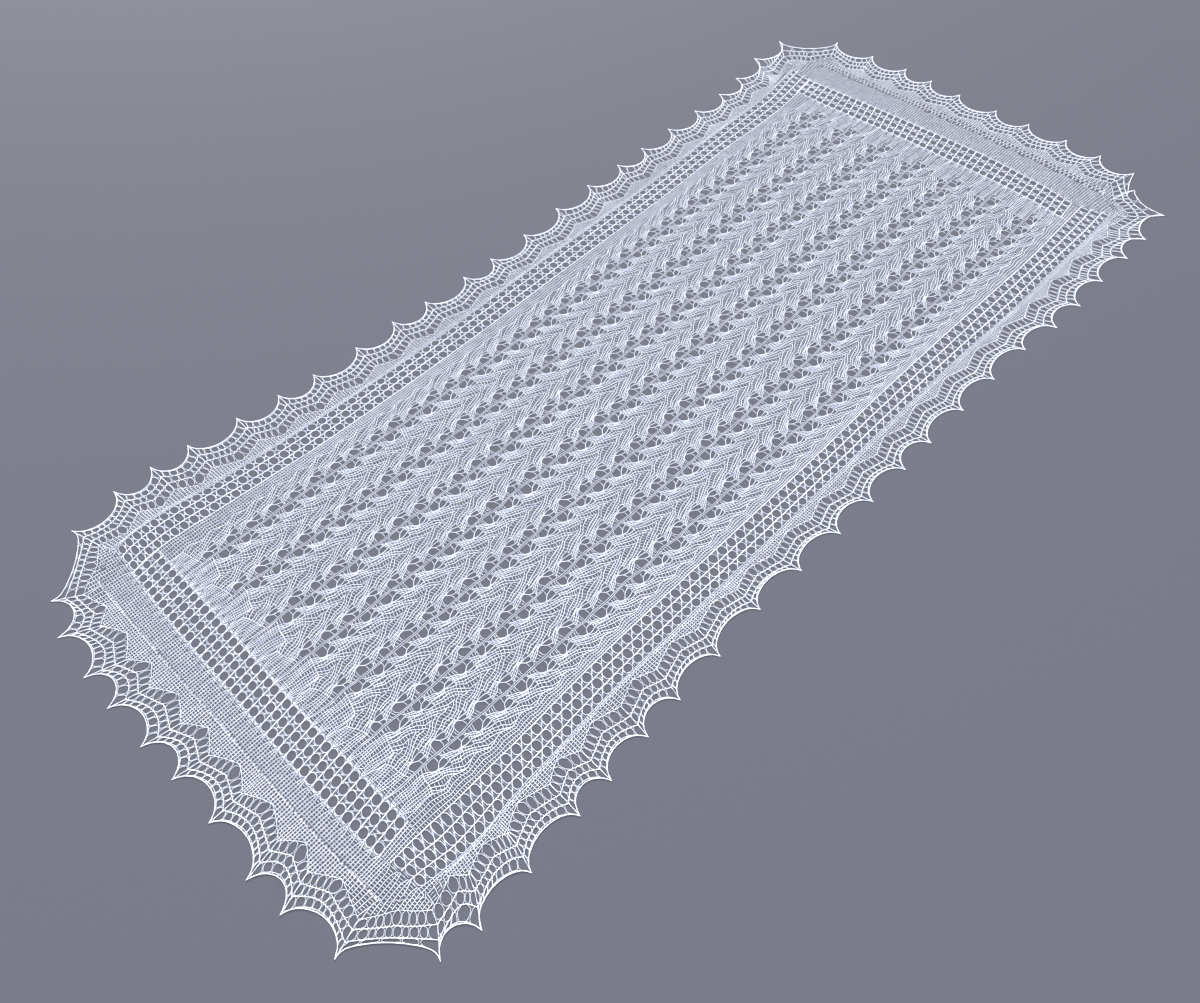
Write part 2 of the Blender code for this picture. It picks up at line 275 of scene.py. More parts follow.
def smooth(table, column, along):
    """A column of a table read off at places between its rows, along a smooth curve."""
    places = np.array([row[0] for row in table], dtype=float)
    values = np.array([getattr(row, column) for row in table], dtype=float)
    slopes = np.gradient(values, places)
    along = np.clip(np.asarray(along, dtype=float), places[0], places[-1])
    row = np.clip(np.searchsorted(places, along, side="right") - 1, 0, len(places) - 2)
    step = places[row + 1] - places[row]
    t = (along - places[row]) / step
    return (
        values[row] * (1 + 2 * t) * (1 - t) ** 2
        + slopes[row] * step * t * (1 - t) ** 2
        + values[row + 1] * t * t * (3 - 2 * t)
        - slopes[row + 1] * step * t * t * (1 - t)
    )


def line_of(side, along, seam):
    """Points of a side's line of pins, or of its seam, at distances along it."""
    end = "_seam" if seam else ""
    if side is NEAR:
        return np.stack([along, smooth(END_BOW, "near" + end, along)], -1)
    if side is FAR:
        return np.stack([along, smooth(END_BOW, "far" + end, along)], -1)
    if side is LEFT:
        return np.stack([smooth(SIDE_BOW, "left" + end, along), along], -1)
    return np.stack([smooth(SIDE_BOW, "right" + end, along), along], -1)


def pin_places(side):
    return np.cumsum((side.first_pin,) + side.gaps).astype(float)


# The edging is one long strip. Its two ends are sewn together in the far right corner, where the
# join makes a small point of its own: places along the corner's edge, by their share of the way.
JOIN = table_of(
    "share x y",
    (0.00, 757.0, 1635.0),
    (0.08, 747.0, 1633.2),
    (0.17, 735.0, 1633.8),
    (0.29, 722.0, 1635.6),
    (0.37, 713.0, 1639.2),
    (0.46, 703.0, 1647.0),
    (0.54, 695.0, 1654.0),
    (0.60, 690.5, 1663.5),
    (0.66, 684.0, 1651.5),
    (0.74, 679.0, 1663.0),
    (0.80, 675.5, 1672.0),
    (0.89, 671.5, 1686.0),
    (1.00, 669.0, 1704.0),
)
JOIN_CORNER = 1


class Walk:
    """A walk around the shawl against the clock. A place on it is a pin's number, with a share of
    the way to the next pin."""

    def __init__(self):
        pins, places, sides = [], [], []
        self.corners = []
        for side, backwards in WALK:
            along = pin_places(side)
            along = along[::-1] if backwards else along
            pins.append(line_of(side, along, seam=False))
            places.append(along)
            sides += [side] * len(along)
            self.corners.append(len(sides) - 1)
        self.pins = np.concatenate(pins)
        self.places = np.concatenate(places)
        self.sides = sides
        self.count = len(sides)
        self.set_leans()

    def set_leans(self):
        """How far the cells are pulled along their side, at the middle of each scallop and at each
        pin, as vectors at the depth of the inner zigzag."""
        self.lean = np.zeros((self.count, 2))
        start = 0
        for side, backwards in WALK:
            skews = side.skews[::-1] if backwards else side.skews
            axis = 0 if side in (NEAR, FAR) else 1
            self.lean[start : start + len(skews), axis] = skews
            start += len(skews) + 1
        self.pin_lean = (self.lean + np.roll(self.lean, 1, axis=0)) / 2
        self.seam_lean = self.pin_lean.copy()
        for corner in self.corners:
            self.seam_lean[corner] = 0
            self.seam_lean[self.after(corner)] = 0

    def corner_of(self, pin):
        return CORNERS[self.corners.index(pin)] if pin in self.corners else None

    def after(self, pin):
        return (pin + 1) % self.count

    def across(self, pin):
        """The step from a pin to the next one."""
        return self.pins[self.after(pin)] - self.pins[pin]

    def chord(self, pin, share):
        return self.pins[pin] + self.across(pin) * np.asarray(share)[..., None]

    def edge(self, pin, share):
        """The outer edge of a scallop: an arc that hangs in from pin to pin."""
        across = self.across(pin)
        inward = np.array([-across[1], across[0]]) / np.hypot(*across)
        corner = self.corner_of(pin)
        depth = corner.depth if corner else self.sides[pin].depth
        share = np.asarray(share, dtype=float)
        if pin == self.corners[JOIN_CORNER]:
            along = np.array([place.share for place in JOIN])
            spots = np.array([(place.x, place.y) for place in JOIN])
            spots += (self.chord(pin, along) - spots) * np.isin(along, (0, 1))[:, None]
            return np.stack([np.interp(share, along, spots[:, axis]) for axis in (0, 1)], -1)
        away = np.minimum(share, 1 - share) * np.hypot(*across)
        spike = SPIKE * (1 - np.exp(-away / SPIKE_REACH))
        hang = spike + (depth - SPIKE) * (1 - (2 * share - 1) ** 2)
        return self.chord(pin, share) + inward * hang[..., None]

    def seam_on_side(self, side, place):
        places = pin_places(side)
        near_first = np.maximum(0.0, 1 - (place - places[0]) / SHORTENING_REACH) ** 2
        near_last = np.maximum(0.0, 1 - (places[-1] - place) / SHORTENING_REACH) ** 2
        moved = place + side.short_first * near_first - side.short_last * near_last
        return line_of(side, moved, seam=True)

    def seam(self, pin, share):
        """The seam that joins the edging to the centre, with its corners rounded."""
        share = np.asarray(share, dtype=float)
        second = self.after(pin)
        if self.corner_of(pin) is None:
            place = self.places[pin] + (self.places[second] - self.places[pin]) * share
            return self.seam_on_side(self.sides[pin], place)
        here = self.seam_on_side(self.sides[pin], self.places[pin])
        there = self.seam_on_side(self.sides[second], self.places[second])
        level, upright = (here, there) if self.sides[pin] in (NEAR, FAR) else (there, here)
        corner = np.array([upright[0], level[1]])
        corner += ((here + there) / 2 - corner) * self.corner_of(pin).rounding
        s = share[..., None]
        return (here + (corner - here) * s) * (1 - s) + (corner + (there - corner) * s) * s

    def pulled(self, pin, share, leans):
        """The lean of a point of a scallop, smooth from pin to middle to pin."""
        share = np.asarray(share, dtype=float)[..., None]
        ends = leans[pin] + (leans[self.after(pin)] - leans[pin]) * share
        middle = 4 * share * (1 - share)
        return ends * (1 - middle) + self.lean[pin] * middle

    def between(self, pin, share, way):
        """Points a share of the way from the pins' chord to the seam, with the side's lean."""
        start = self.chord(pin, share)
        way = np.broadcast_to(np.asarray(way, dtype=float), np.shape(share))[..., None]
        lean = self.pulled(pin, share, self.pin_lean)
        at_seam = self.pulled(pin, share, self.seam_lean)
        deep = np.clip((way - LEAN_DEPTH) / (1 - LEAN_DEPTH), 0, 1)
        lean = (lean + (at_seam - lean) * deep) * np.minimum(way / LEAN_DEPTH, 1)
        return start + (self.seam(pin, share) - start) * way + lean

    def swinging(self, pin, share, at_tip, at_valley, sharpness):
        """A line that swings between the tips and the valleys. At a corner scallop its depth at
        the tips passes from one side's to the next side's."""
        share = np.asarray(share, dtype=float)
        here, there = at_tip(self.sides[pin]), at_tip(self.sides[self.after(pin)])
        tip = here + (there - here) * share
        swing = 1 - np.abs(2 * share - 1) ** sharpness
        return self.between(pin, share, tip + (at_valley - tip) * swing)

    def zigzag(self, pin, share, number):
        corner = self.corner_of(pin)
        valley = corner.zigzags[number] if corner else self.sides[pin].valley_zigzags[number]
        sharpness = ZIGZAG_SHARPNESS[number]
        return self.swinging(pin, share, lambda side: side.tip_zigzags[number], valley, sharpness)

    def outer_zigzag(self, pin, share):
        return self.zigzag(pin, share, 0)

    def inner_zigzag(self, pin, share):
        return self.zigzag(pin, share, 1)

    def tooth_line(self, pin, share):
        """Where the plain knitting ends, between the teeth's tips and the valleys."""
        corner = self.corner_of(pin)
        valley = corner.hole_end if corner else self.sides[pin].hole_end
        sharpness = CORNER_TOOTH_SHARPNESS if corner else TOOTH_SHARPNESS
        return self.swinging(pin, share, lambda side: side.tooth, valley, sharpness)


walk = Walk()
plan_middle = (walk.pins.min(axis=0) + walk.pins.max(axis=0)) / 2


def row_y(row):
    """The height of a row of big holes along the panel; a row may be a fraction."""
    share = np.asarray(row, dtype=float) / (FAN_ROWS - 1)
    return FIRST_ROW_Y + (LAST_ROW_Y - FIRST_ROW_Y) * share * (1 - ROW_GROWTH + ROW_GROWTH * share)


def spine_x(number, y):
    first = smooth(PANEL, "first_spine", y)
    last = smooth(PANEL, "last_spine", y)
    return first + (last - first) * number / (SPINES - 1)


# ---------------------------------------------------------------------------------------------
# Camera, light and floor
# ---------------------------------------------------------------------------------------------

# Eye and aim on the plan, in mm. The eye stands off the near right corner and looks down.
EYE = (1110.0, 20.0, 1171.1)
AIM = (430.6, 699.3, 0.0)
ROLL = math.radians(1.987)
LENS = 32.84
SENSOR = 36.0
SHIFT = (-0.0214, -0.0528)
FLOOR_SIZE = 40.0
# The floor lies just under the cloth, so that the two never share a plane.
FLOOR_DROP = 0.0004


def on_plan(x, y, z=0.0):
    return Vector(((x - plan_middle[0]) * MM, (y - plan_middle[1]) * MM, z * MM))


def place_camera():
    eye, aim = on_plan(*EYE), on_plan(*AIM)
    look = (aim - eye).normalized()
    right = look.cross(Vector((0, 0, 1))).normalized()
    up = right.cross(look)
    tilted_up = up * math.cos(ROLL) + right * math.sin(ROLL)
    tilted_right = right * math.cos(ROLL) - up * math.sin(ROLL)
    data = bpy.data.cameras.new("camera")
    data.lens = LENS
    data.sensor_width = SENSOR
    data.shift_x, data.shift_y = SHIFT
    camera = bpy.data.objects.new("camera", data)
    bpy.context.collection.objects.link(camera)
    turn = Matrix((tilted_right, tilted_up, -look)).transposed()
    camera.matrix_world = Matrix.Translation(eye) @ turn.to_4x4()
    bpy.context.scene.camera = camera


place_camera()


def linear(hex_colour):
    """An sRGB hex colour as linear RGBA."""
    parts = [int(hex_colour[i : i + 2], 16) / 255 for i in (1, 3, 5)]
    parts = [p / 12.92 if p <= 0.04045 else ((p + 0.055) / 1.055) ** 2.4 for p in parts]
    return (*parts, 1.0)


def add_node(tree, kind, links=(), **settings):
    """Adds a node with its settings; links are (own input, other node, its output)."""
    node = tree.nodes.new(kind)
    for name, value in settings.items():
        if name in node.inputs:
            node.inputs[name].default_value = value
        else:
            setattr(node, name, value)
    for own, other, output in links:
        tree.links.new(other.outputs[output], node.inputs[own])
    return node


def add_light(name, place, size, power, colour):
    """A round soft light that points at the middle of the shawl."""
    data = bpy.data.lights.new(name, "AREA")
    data.shape = "DISK"
    data.size = size
    data.energy = power
    data.color = linear(colour)[:3]
    lamp = bpy.data.objects.new(name, data)
    bpy.context.collection.objects.link(lamp)
    lamp.location = place
    lamp.rotation_euler = (-Vector(place)).to_track_quat("-Z", "Y").to_euler()


def light_studio():
    """Two soft lights, low enough to part the threads, and an even pale room around them."""
    add_light("key", place=(-7.4, 4.2, 4.3), size=2.6, power=2800, colour="#ffffff")
    add_light("fill", place=(6.8, -4.6, 4.2), size=3.4, power=1500, colour="#f4f6ff")
    world = bpy.data.worlds.new("studio")
    world.use_nodes = True
    background = world.node_tree.nodes["Background"]
    background.inputs["Color"].default_value = linear("#eef1fa")
    background.inputs["Strength"].default_value = 0.72
    bpy.context.scene.world = world
    # Colours come out as they are given, so that fine white threads keep their contrast.
    bpy.context.scene.view_settings.view_transform = "Standard"


def lay_floor():
    """Matt board: one even grey with hardly any gloss, so that the eye stays on the lace."""
    bpy.ops.object.select_all(action="DESELECT")
    bpy.ops.mesh.primitive_plane_add(size=FLOOR_SIZE, location=(0, 0, -FLOOR_DROP))
    floor = bpy.context.object
    floor.name = "floor"
    bpy.ops.object.transform_apply(location=True, rotation=True, scale=True)
    material = bpy.data.materials.new("matt_board")
    material.use_nodes = True
    shader = material.node_tree.nodes["Principled BSDF"]
    shader.inputs["Base Color"].default_value = linear("#4b4c53")
    shader.inputs["Roughness"].default_value = 0.95
    shader.inputs["Specular IOR Level"].default_value = 0.1
    floor.data.materials.append(material)


light_studio()
lay_floor()

# ---------------------------------------------------------------------------------------------
# Yarn
# ---------------------------------------------------------------------------------------------

# How a thread is drawn: its width, the height of its underside, and its thickness, in mm. The real
# yarn is a strand of about 0.3 mm, too fine to show. A wale, which is a column of its loops, is
# drawn as one flat thread, and so is a rung, which is a course's yarn between two wales.
Lay = namedtuple("Lay", "width under thick")
PLAIN_WALE = Lay(0.66, 0.15, 0.38)
LACE_WALE = Lay(0.72, 0.20, 0.28)
SPINE_WALE = Lay(0.52, 0.20, 0.32)
# Bars stand between the columns of eyelets, and rims run round the eyelets and the larger holes.
BAR = Lay(1.20, 0.15, 0.50)
RUNG = Lay(0.64, 0.15, 0.20)
BAND_RUNG = Lay(0.52, 0.15, 0.25)
PLAIN_RUNG = Lay(0.66, 0.15, 0.25)
RIM = Lay(0.58, 0.20, 0.35)
CELL = Lay(0.50, 0.20, 0.28)
ZIGZAG = Lay(0.82, 0.15, 0.42)
EDGE = Lay(1.00, 0.10, 0.65)
SECOND_EDGE = Lay(0.55, 0.10, 0.35)
SEAM = Lay(0.80, 0.15, 0.30)

chance = np.random.default_rng(20)

# Wander of the cloth, which no hand-pinned lace is free of: slow waves all over, and shorter,
# larger ones inside the wave panel, where they fade in from its borders. In mm, with the panel's
# borders by their distance from the two seams and by their heights.
Wave = namedtuple("Wave", "length heading phase axis")


def waves(shortest, longest, number):
    return [
        Wave(chance.uniform(shortest, longest), *chance.uniform(0, 2 * math.pi, 2), axis)
        for axis in (0, 1) * number
    ]


LONG_WAVES = waves(90, 260, 4)
SHORT_WAVES = waves(16, 60, 8)
# How much thinner or thicker than its kind a thread may be at any point.
UNEVEN = (0.85, 1.15)
LONG_WANDER = 0.2
SHORT_WANDER = 0.75
PANEL_FROM_SEAMS = (50, 57)
PANEL_HEIGHTS = (155, 1510)
SIDE_FADE = 16
END_FADE = 20


def wander(points):
    """Points where the cloth has carried them."""
    moved = points.copy()
    x, y = points[..., 0], points[..., 1]
    from_left = x - left_seam(y) - PANEL_FROM_SEAMS[0]
    from_right = right_seam(y) - PANEL_FROM_SEAMS[1] - x
    from_ends = np.minimum(y - PANEL_HEIGHTS[0], PANEL_HEIGHTS[1] - y)
    in_panel = np.clip(np.minimum(from_left, from_right) / SIDE_FADE, 0, 1)
    in_panel *= np.clip(from_ends / END_FADE, 0, 1)
    for group, size in ((LONG_WAVES, LONG_WANDER), (SHORT_WAVES, SHORT_WANDER * in_panel)):
        for wave in group:
            along = x * math.cos(wave.heading) + y * math.sin(wave.heading)
            swing = np.sin(along * 2 * math.pi / wave.length + wave.phase)
            moved[..., wave.axis] += size / math.sqrt(len(group) / 4) * swing
    return moved


class Threads:
    """Threads gathered until their pieces are made. A batch is an array of threads of the same
    number of points."""

    def __init__(self):
        self.batches = []

    def lay(self, points, kind, jitter, lift=0.0):
        """Adds a batch. Its points stray by jitter, and its threads lie higher by lift, in mm."""
        points = np.asarray(points, dtype=float)
        if points.ndim == 2:
            points = points[None]
        if points.size:
            self.batches.append((points, kind, jitter, lift))


def unit(step):
    """The direction of a step on the plan."""
    return step / max(np.hypot(*step), 1e-6)


def copied(faces, number, each):
    """The faces of a number of like threads, from those of one; each has so many vertices."""
    if not faces:
        return np.zeros((0, 4), dtype=np.int64)
    faces = np.array(faces, dtype=np.int64)
    firsts = np.arange(0, number * each, each)
    return (faces[None] + firsts[:, None, None]).reshape(-1, faces.shape[1])


def thread_mesh(points, kind, jitter, lift):
    """Three-sided threads with pointed ends: vertices, faces, and the attributes stitch, the place
    along a thread in mm, and side, which is 1 at a thread's foot and 0 at its ridge."""
    points = wander(points)
    points = points + chance.normal(0.0, jitter, points.shape)
    number, length = points.shape[:2]
    rings = length - 2
    along = np.gradient(points, axis=1)
    along /= np.maximum(np.hypot(along[..., 0], along[..., 1]), 1e-6)[..., None]
    left = np.stack([-along[..., 1], along[..., 0]], -1)
    half = left * (kind.width * chance.uniform(*UNEVEN, (number, length, 1))) / 2
    step = np.hypot(*np.moveaxis(np.diff(points, axis=1), -1, 0))
    run = np.concatenate([np.zeros((number, 1)), np.cumsum(step, axis=1)], axis=1)
    under = kind.under + lift
    inner = slice(1, length - 1)

    def at_height(spots, height):
        return np.concatenate([spots, np.full((*spots.shape[:2], 1), height)], -1)

    feet = [at_height(spots[:, inner], under) for spots in (points + half, points - half)]
    ridge = at_height(points[:, inner], under + kind.thick)
    ring = np.stack([*feet, ridge], axis=2).reshape(number, rings * 3, 3)
    verts = np.concatenate([ring, at_height(points[:, [0, -1]], under + kind.thick / 3)], axis=1)

    # A ring's corners are its left foot, its right foot and its ridge; the two tips come last.
    start, end = rings * 3, rings * 3 + 1
    ring_starts, last_ring = range(0, start - 3, 3), start - 3
    around = ((0, 2), (2, 1), (1, 0))
    quads = [(i + a, i + b, i + b + 3, i + a + 3) for i in ring_starts for a, b in around]
    tris = [(start, b, a) for a, b in around]
    tris += [(last_ring + a, last_ring + b, end) for a, b in around]
    each = rings * 3 + 2
    stitch = np.concatenate([np.repeat(run[:, inner], 3, axis=1), run[:, [0, -1]]], axis=1)
    side = np.tile([1.0, 1.0, 0.0] * rings + [0.0, 0.0], number)
    faces = [copied(kind_of_face, number, each) for kind_of_face in (quads, tris)]
    return verts.reshape(-1, 3), *faces, stitch.reshape(-1), side


def make_piece(name, batches, material):
    """One mesh of many threads, with its attributes and a UV map that is its plan."""
    meshes, base = [], 0
    for batch in batches:
        verts, quads, tris, stitch, side = thread_mesh(*batch)
        meshes.append((verts, quads + base, tris + base, stitch, side))
        base += len(verts)
    verts, quads, tris, stitch, side = [np.concatenate(parts) for parts in zip(*meshes)]
    verts[:, :2] -= plan_middle
    verts *= MM
    data = bpy.data.meshes.new(name)
    loops = np.concatenate([quads.ravel(), tris.ravel()]).astype(np.int32)
    starts = np.concatenate([np.arange(len(quads)) * 4, quads.size + np.arange(len(tris)) * 3])
    data.vertices.add(len(verts))
    data.vertices.foreach_set("co", verts.astype(np.float32).ravel())
    data.loops.add(len(loops))
    data.loops.foreach_set("vertex_index", loops)
    data.polygons.add(len(starts))
    data.polygons.foreach_set("loop_start", starts.astype(np.int32))
    data.polygons.foreach_set("use_smooth", np.ones(len(starts), dtype=bool))
    data.update(calc_edges=True)
    for label, values in (("stitch", stitch), ("side", side)):
        layer = data.attributes.new(label, "FLOAT", "POINT")
        layer.data.foreach_set("value", values.astype(np.float32))
    uv = data.uv_layers.new(name="OFBake")
    corner = verts[loops][:, :2]
    low, high = verts.min(axis=0)[:2], verts.max(axis=0)[:2]
    flat = (corner - low) / max(high - low)
    uv.data.foreach_set("uv", flat.astype(np.float32).ravel())
    data.materials.append(material)
    data.validate()
    piece = bpy.data.objects.new(name, data)
    bpy.context.collection.objects.link(piece)
    return piece


# A loop of a wale is 3.3 mm long. The slant of its two legs is how far each runs along the wale
# from its foot to its ridge, in mm, drawn a little stronger than real so that it shows, and their
# depth is a share of the nap's.
STITCH_LENGTH = 3.3
LEG_SLANT = 1.6
LEG_DEPTH = 0.35
# Noise scales, for each metre: patches of tone about 9 mm wide, as hand-spun yarn has, and the nap
# of the fibres, drawn about 0.7 mm wide, as the real 0.02 mm is too fine to show.
TONE_PATCHES = 110.0
NAP = 1400.0
NAP_DEPTH = 0.0006


def wool(name, light, base, shade):
    """Fine single-ply wool: a soft matt white, whose cool tone the nap of its fibres breaks up."""
    material = bpy.data.materials.new(name)
    material.use_nodes = True
    tree = material.node_tree
    shader = tree.nodes["Principled BSDF"]

    def noise(scale, detail):
        links = [("Vector", place, "Object")]
        return add_node(tree, "ShaderNodeTexNoise", links, Scale=scale, Detail=detail)

    def reckon(operation, links, factor=None):
        node = add_node(tree, "ShaderNodeMath", links, operation=operation)
        if factor is not None:
            node.inputs[1].default_value = factor
        return node

    place = add_node(tree, "ShaderNodeTexCoord")
    tone = noise(TONE_PATCHES, 3.0)
    ramp = add_node(tree, "ShaderNodeValToRGB", [("Fac", tone, "Fac")])
    ramp.color_ramp.elements[0].position = 0.35
    ramp.color_ramp.elements[0].color = linear(shade)
    ramp.color_ramp.elements[1].position = 0.68
    ramp.color_ramp.elements[1].color = linear(light)
    ramp.color_ramp.elements.new(0.5).color = linear(base)
    run = add_node(tree, "ShaderNodeAttribute", attribute_name="stitch")
    side = add_node(tree, "ShaderNodeAttribute", attribute_name="side")
    slant = reckon("MULTIPLY_ADD", [(0, side, "Fac"), (2, run, "Fac")], LEG_SLANT)
    wave = reckon("MULTIPLY", [(0, slant, 0)], 2 * math.pi / STITCH_LENGTH)
    legs = reckon("SINE", [(0, wave, 0)])
    height = reckon("MULTIPLY_ADD", [(0, legs, 0), (2, noise(NAP, 2.0), "Fac")], LEG_DEPTH)
    links = [("Height", height, 0)]
    bump = add_node(tree, "ShaderNodeBump", links, Strength=0.55, Distance=NAP_DEPTH)
    tree.links.new(ramp.outputs["Color"], shader.inputs["Base Color"])
    tree.links.new(bump.outputs["Normal"], shader.inputs["Normal"])
    shader.inputs["Roughness"].default_value = 0.85
    shader.inputs["Specular IOR Level"].default_value = 0.25
    shader.inputs["Sheen Weight"].default_value = 0.15
    shader.inputs["Sheen Roughness"].default_value = 0.5
    shader.inputs["Sheen Tint"].default_value = linear("#eaf2ff")
    return material


# The centre is worked looser and reads a shade cooler; the edging's yarn is pulled tight and is
# the brighter white.
body_wool = wool("centre_wool", "#f6faff", "#e9eef9", "#d6dcec")
lace_wool = wool("edging_wool", "#fbfdff", "#f1f5fd", "#dfe5f2")

# ---------------------------------------------------------------------------------------------
# Wave panel
# ---------------------------------------------------------------------------------------------

# A fan is charted in half: how far out a wale runs from the spine, as a share of the way to the
# line where two fans meet, against rows of big holes above the hole beneath it. A fan has the same
# wales in every row: each is born over one hole, leans out through the next rows and dies where the
# fans meet.
Knot = namedtuple("Knot", "up out")
LONG_WAY = (
    Knot(0.42, 0.12), Knot(0.50, 0.17), Knot(0.57, 0.20), Knot(0.73, 0.25), Knot(0.81, 0.32),
    Knot(0.90, 0.385), Knot(1.00, 0.41), Knot(1.03, 0.415), Knot(1.17, 0.30), Knot(1.25, 0.27),
    Knot(1.37, 0.24), Knot(1.50, 0.24), Knot(1.60, 0.29), Knot(1.73, 0.33), Knot(1.85, 0.39),
    Knot(2.00, 0.45), Knot(2.03, 0.425), Knot(2.15, 0.48), Knot(2.25, 0.50), Knot(2.40, 0.47),
    Knot(2.50, 0.43), Knot(3.00, 0.56), Knot(3.25, 0.70), Knot(3.50, 0.78), Knot(3.75, 0.90),
    Knot(4.00, 0.97), Knot(4.05, 1.00),
)
MIDDLE_WAY = (
    Knot(0.45, 0.33), Knot(0.50, 0.33), Knot(0.75, 0.43), Knot(1.00, 0.50), Knot(1.03, 0.45),
    Knot(1.12, 0.52), Knot(1.25, 0.61), Knot(1.40, 0.63), Knot(1.50, 0.62), Knot(1.75, 0.70),
    Knot(2.00, 0.78), Knot(2.25, 0.93), Knot(2.40, 1.00),
)
SHORT_WAY = (
    Knot(0.48, 0.56), Knot(0.52, 0.53), Knot(0.75, 0.60), Knot(1.00, 0.65), Knot(1.25, 0.80),
    Knot(1.50, 0.93), Knot(1.70, 0.98), Knot(1.75, 1.00),
)

# Holes of a half fan, as the box that holds each rung's middle that is left out.
GAPS = table_of(
    "out_from out_to up_from up_to",
    (0.00, 0.40, -0.19, 0.17),
    (0.00, 0.27, 0.19, 0.38),
    (0.25, 0.50, 0.07, 0.43),
    (0.49, 0.63, 0.22, 0.46),
)

# Rims of the holes.
ARCS = (
    (Knot(-0.16, 0.03), Knot(-0.205, 0.10), Knot(-0.215, 0.20), Knot(-0.185, 0.32)),
    (Knot(0.18, 0.03), Knot(0.20, 0.12), Knot(0.19, 0.22), Knot(0.165, 0.30)),
    (Knot(0.31, 0.03), Knot(0.40, 0.08), Knot(0.41, 0.17), Knot(0.35, 0.24)),
    (Knot(0.36, 0.25), Knot(0.45, 0.30), Knot(0.46, 0.38), Knot(0.40, 0.47)),
    (Knot(0.38, 0.49), Knot(0.48, 0.53), Knot(0.48, 0.59), Knot(0.41, 0.63)),
)

# Courses in a row of fans. That is a rung each 4.1 mm, drawn coarser than the real 3.3 mm, which
# would need a quarter more threads.
COURSES = 8
# A course hangs lower the farther it is from the spine, by up to this share of a row.
LEAN = 0.30
LEAN_POWER = 1.2
# The right half of a fan stands this much of a row higher than the left half.
RIGHT_LATER = 0.45
# Where the spine's own threads stand, as a share out, and half the way between its two wales in mm.
SPINE_OUT = 0.03
SPINE_HALF = 1.1
# The line where two fans meet swings with the rows.
MEETING_SWING = 2.6
MEETING_PHASE = 0.1
# The panel's first and last course, in rows.
FIRST_COURSE = -0.40
LAST_COURSE = FAN_ROWS - 1 + 0.62
# Wales that run in the first rows are born up to this many rows below them.
BIRTHS_BELOW = 5
# Rungs shorter than this share of the half fan are left out. A rung joins a wale from a little past
# its birth, and a wale's knots keep clear of its cut ends, both in rows.
SHORTEST_RUNG = 0.035
PAST_BIRTH = 0.02
KNOT_CLEAR = 0.01
# Rungs hang a little below the line between their ends, in mm.
RUNG_SAG = 0.35
# The spine's wales run past the first and the last course by this much, and the points of a long
# wale stand this far apart, at a spine and at a border of the panel, in mm.
SPINE_OVER = (6, 8)
SPINE_STEP = 9.0
BORDER_STEP = 5.5


def lean(out):
    return LEAN * np.asarray(out, dtype=float) ** LEAN_POWER


def meeting_x(gap, y):
    """The line where two fans meet, or the panel's own border. gap 0 is left of the first spine."""
    spacing = (spine_x(SPINES - 1, y) - spine_x(0, y)) / (SPINES - 1)
    x = spine_x(0, y) + spacing * (gap - 0.5)
    rows = (np.asarray(y) - FIRST_ROW_Y) / (LAST_ROW_Y - FIRST_ROW_Y) * (FAN_ROWS - 1)
    return x + MEETING_SWING * np.sin(2 * math.pi * (rows + MEETING_PHASE))


class HalfFan:
    """Half of a column of fans, from its spine to the line where it meets the next."""

    def __init__(self, spine, side):
        self.spine = spine
        self.side = side
        self.meeting = spine if side < 0 else spine + 1
        self.later = RIGHT_LATER if side > 0 else 0.0

    def at(self, out, up):
        """Plan points for shares out and rows up."""
        out = np.asarray(out, dtype=float)
        y = row_y(np.asarray(up, dtype=float) + self.later)
        x = spine_x(self.spine, y)
        return np.stack([x + (meeting_x(self.meeting, y) - x) * out, y], -1)


def wales_of_half_fan():
    """Every wale of a half fan, as arrays of its rows up, its shares out and its courses."""
    wales = []
    for way in (LONG_WAY, MIDDLE_WAY, SHORT_WAY):
        up, out = np.array(way).T
        for birth in range(-BIRTHS_BELOW, FAN_ROWS + 1):
            course = up + birth + lean(out)
            if course[-1] <= FIRST_COURSE or course[0] >= LAST_COURSE:
                continue
            wales.append((up + birth, out, course))
    return wales


def clip_way(up, out, course):
    """The part of a wale between the panel's first and last course."""
    start, end = max(course[0], FIRST_COURSE), min(course[-1], LAST_COURSE)
    inside = (course > start + KNOT_CLEAR) & (course < end - KNOT_CLEAR)

    def clipped(values):
        ends = np.interp((start, end), course, values)
        return np.concatenate([ends[:1], values[inside], ends[1:]])

    return clipped(up), clipped(out)


def chunks(points, most=14):
    """A long thread as overlapping shorter ones, so that few numbers of points occur."""
    pieces = []
    start = 0
    while start < len(points) - 1:
        end = min(start + most, len(points) - 1)
        pieces.append(points[start : end + 1])
        start = end
    return pieces


def lay_way(threads, points, kind, jitter=0.0, overrun=1.2):
    """Lays one long thread: its pieces run a little past each other so that it shows no break."""
    for piece in chunks(points):
        first = piece[0] - unit(piece[1] - piece[0]) * overrun
        last = piece[-1] + unit(piece[-1] - piece[-2]) * overrun
        threads.lay(np.vstack([first, piece, last]), kind, jitter)


def rungs_between(first, second, sag=0.0):
    """Three-point threads between matching points of two lines."""
    middle = (first + second) / 2
    middle[..., 1] -= sag
    return np.stack([first, middle, second], axis=-2)


def stops_on(course, wales, margin=0.0):
    """Where a course crosses the wales of a half fan, from the spine out, as (out, up). A wale
    takes part from a margin past its birth."""
    return sorted(
        (float(np.interp(course, courses, out)), float(np.interp(course, courses, up)))
        for up, out, courses in wales
        if courses[0] + margin < course < courses[-1]
    )


def in_a_hole(out, up):
    """Whether the middle of a rung lies in one of the fan's holes."""
    turn = (up + 0.5) % 1.0 - 0.5
    return any(g.out_from < out < g.out_to and g.up_from < turn < g.up_to for g in GAPS)


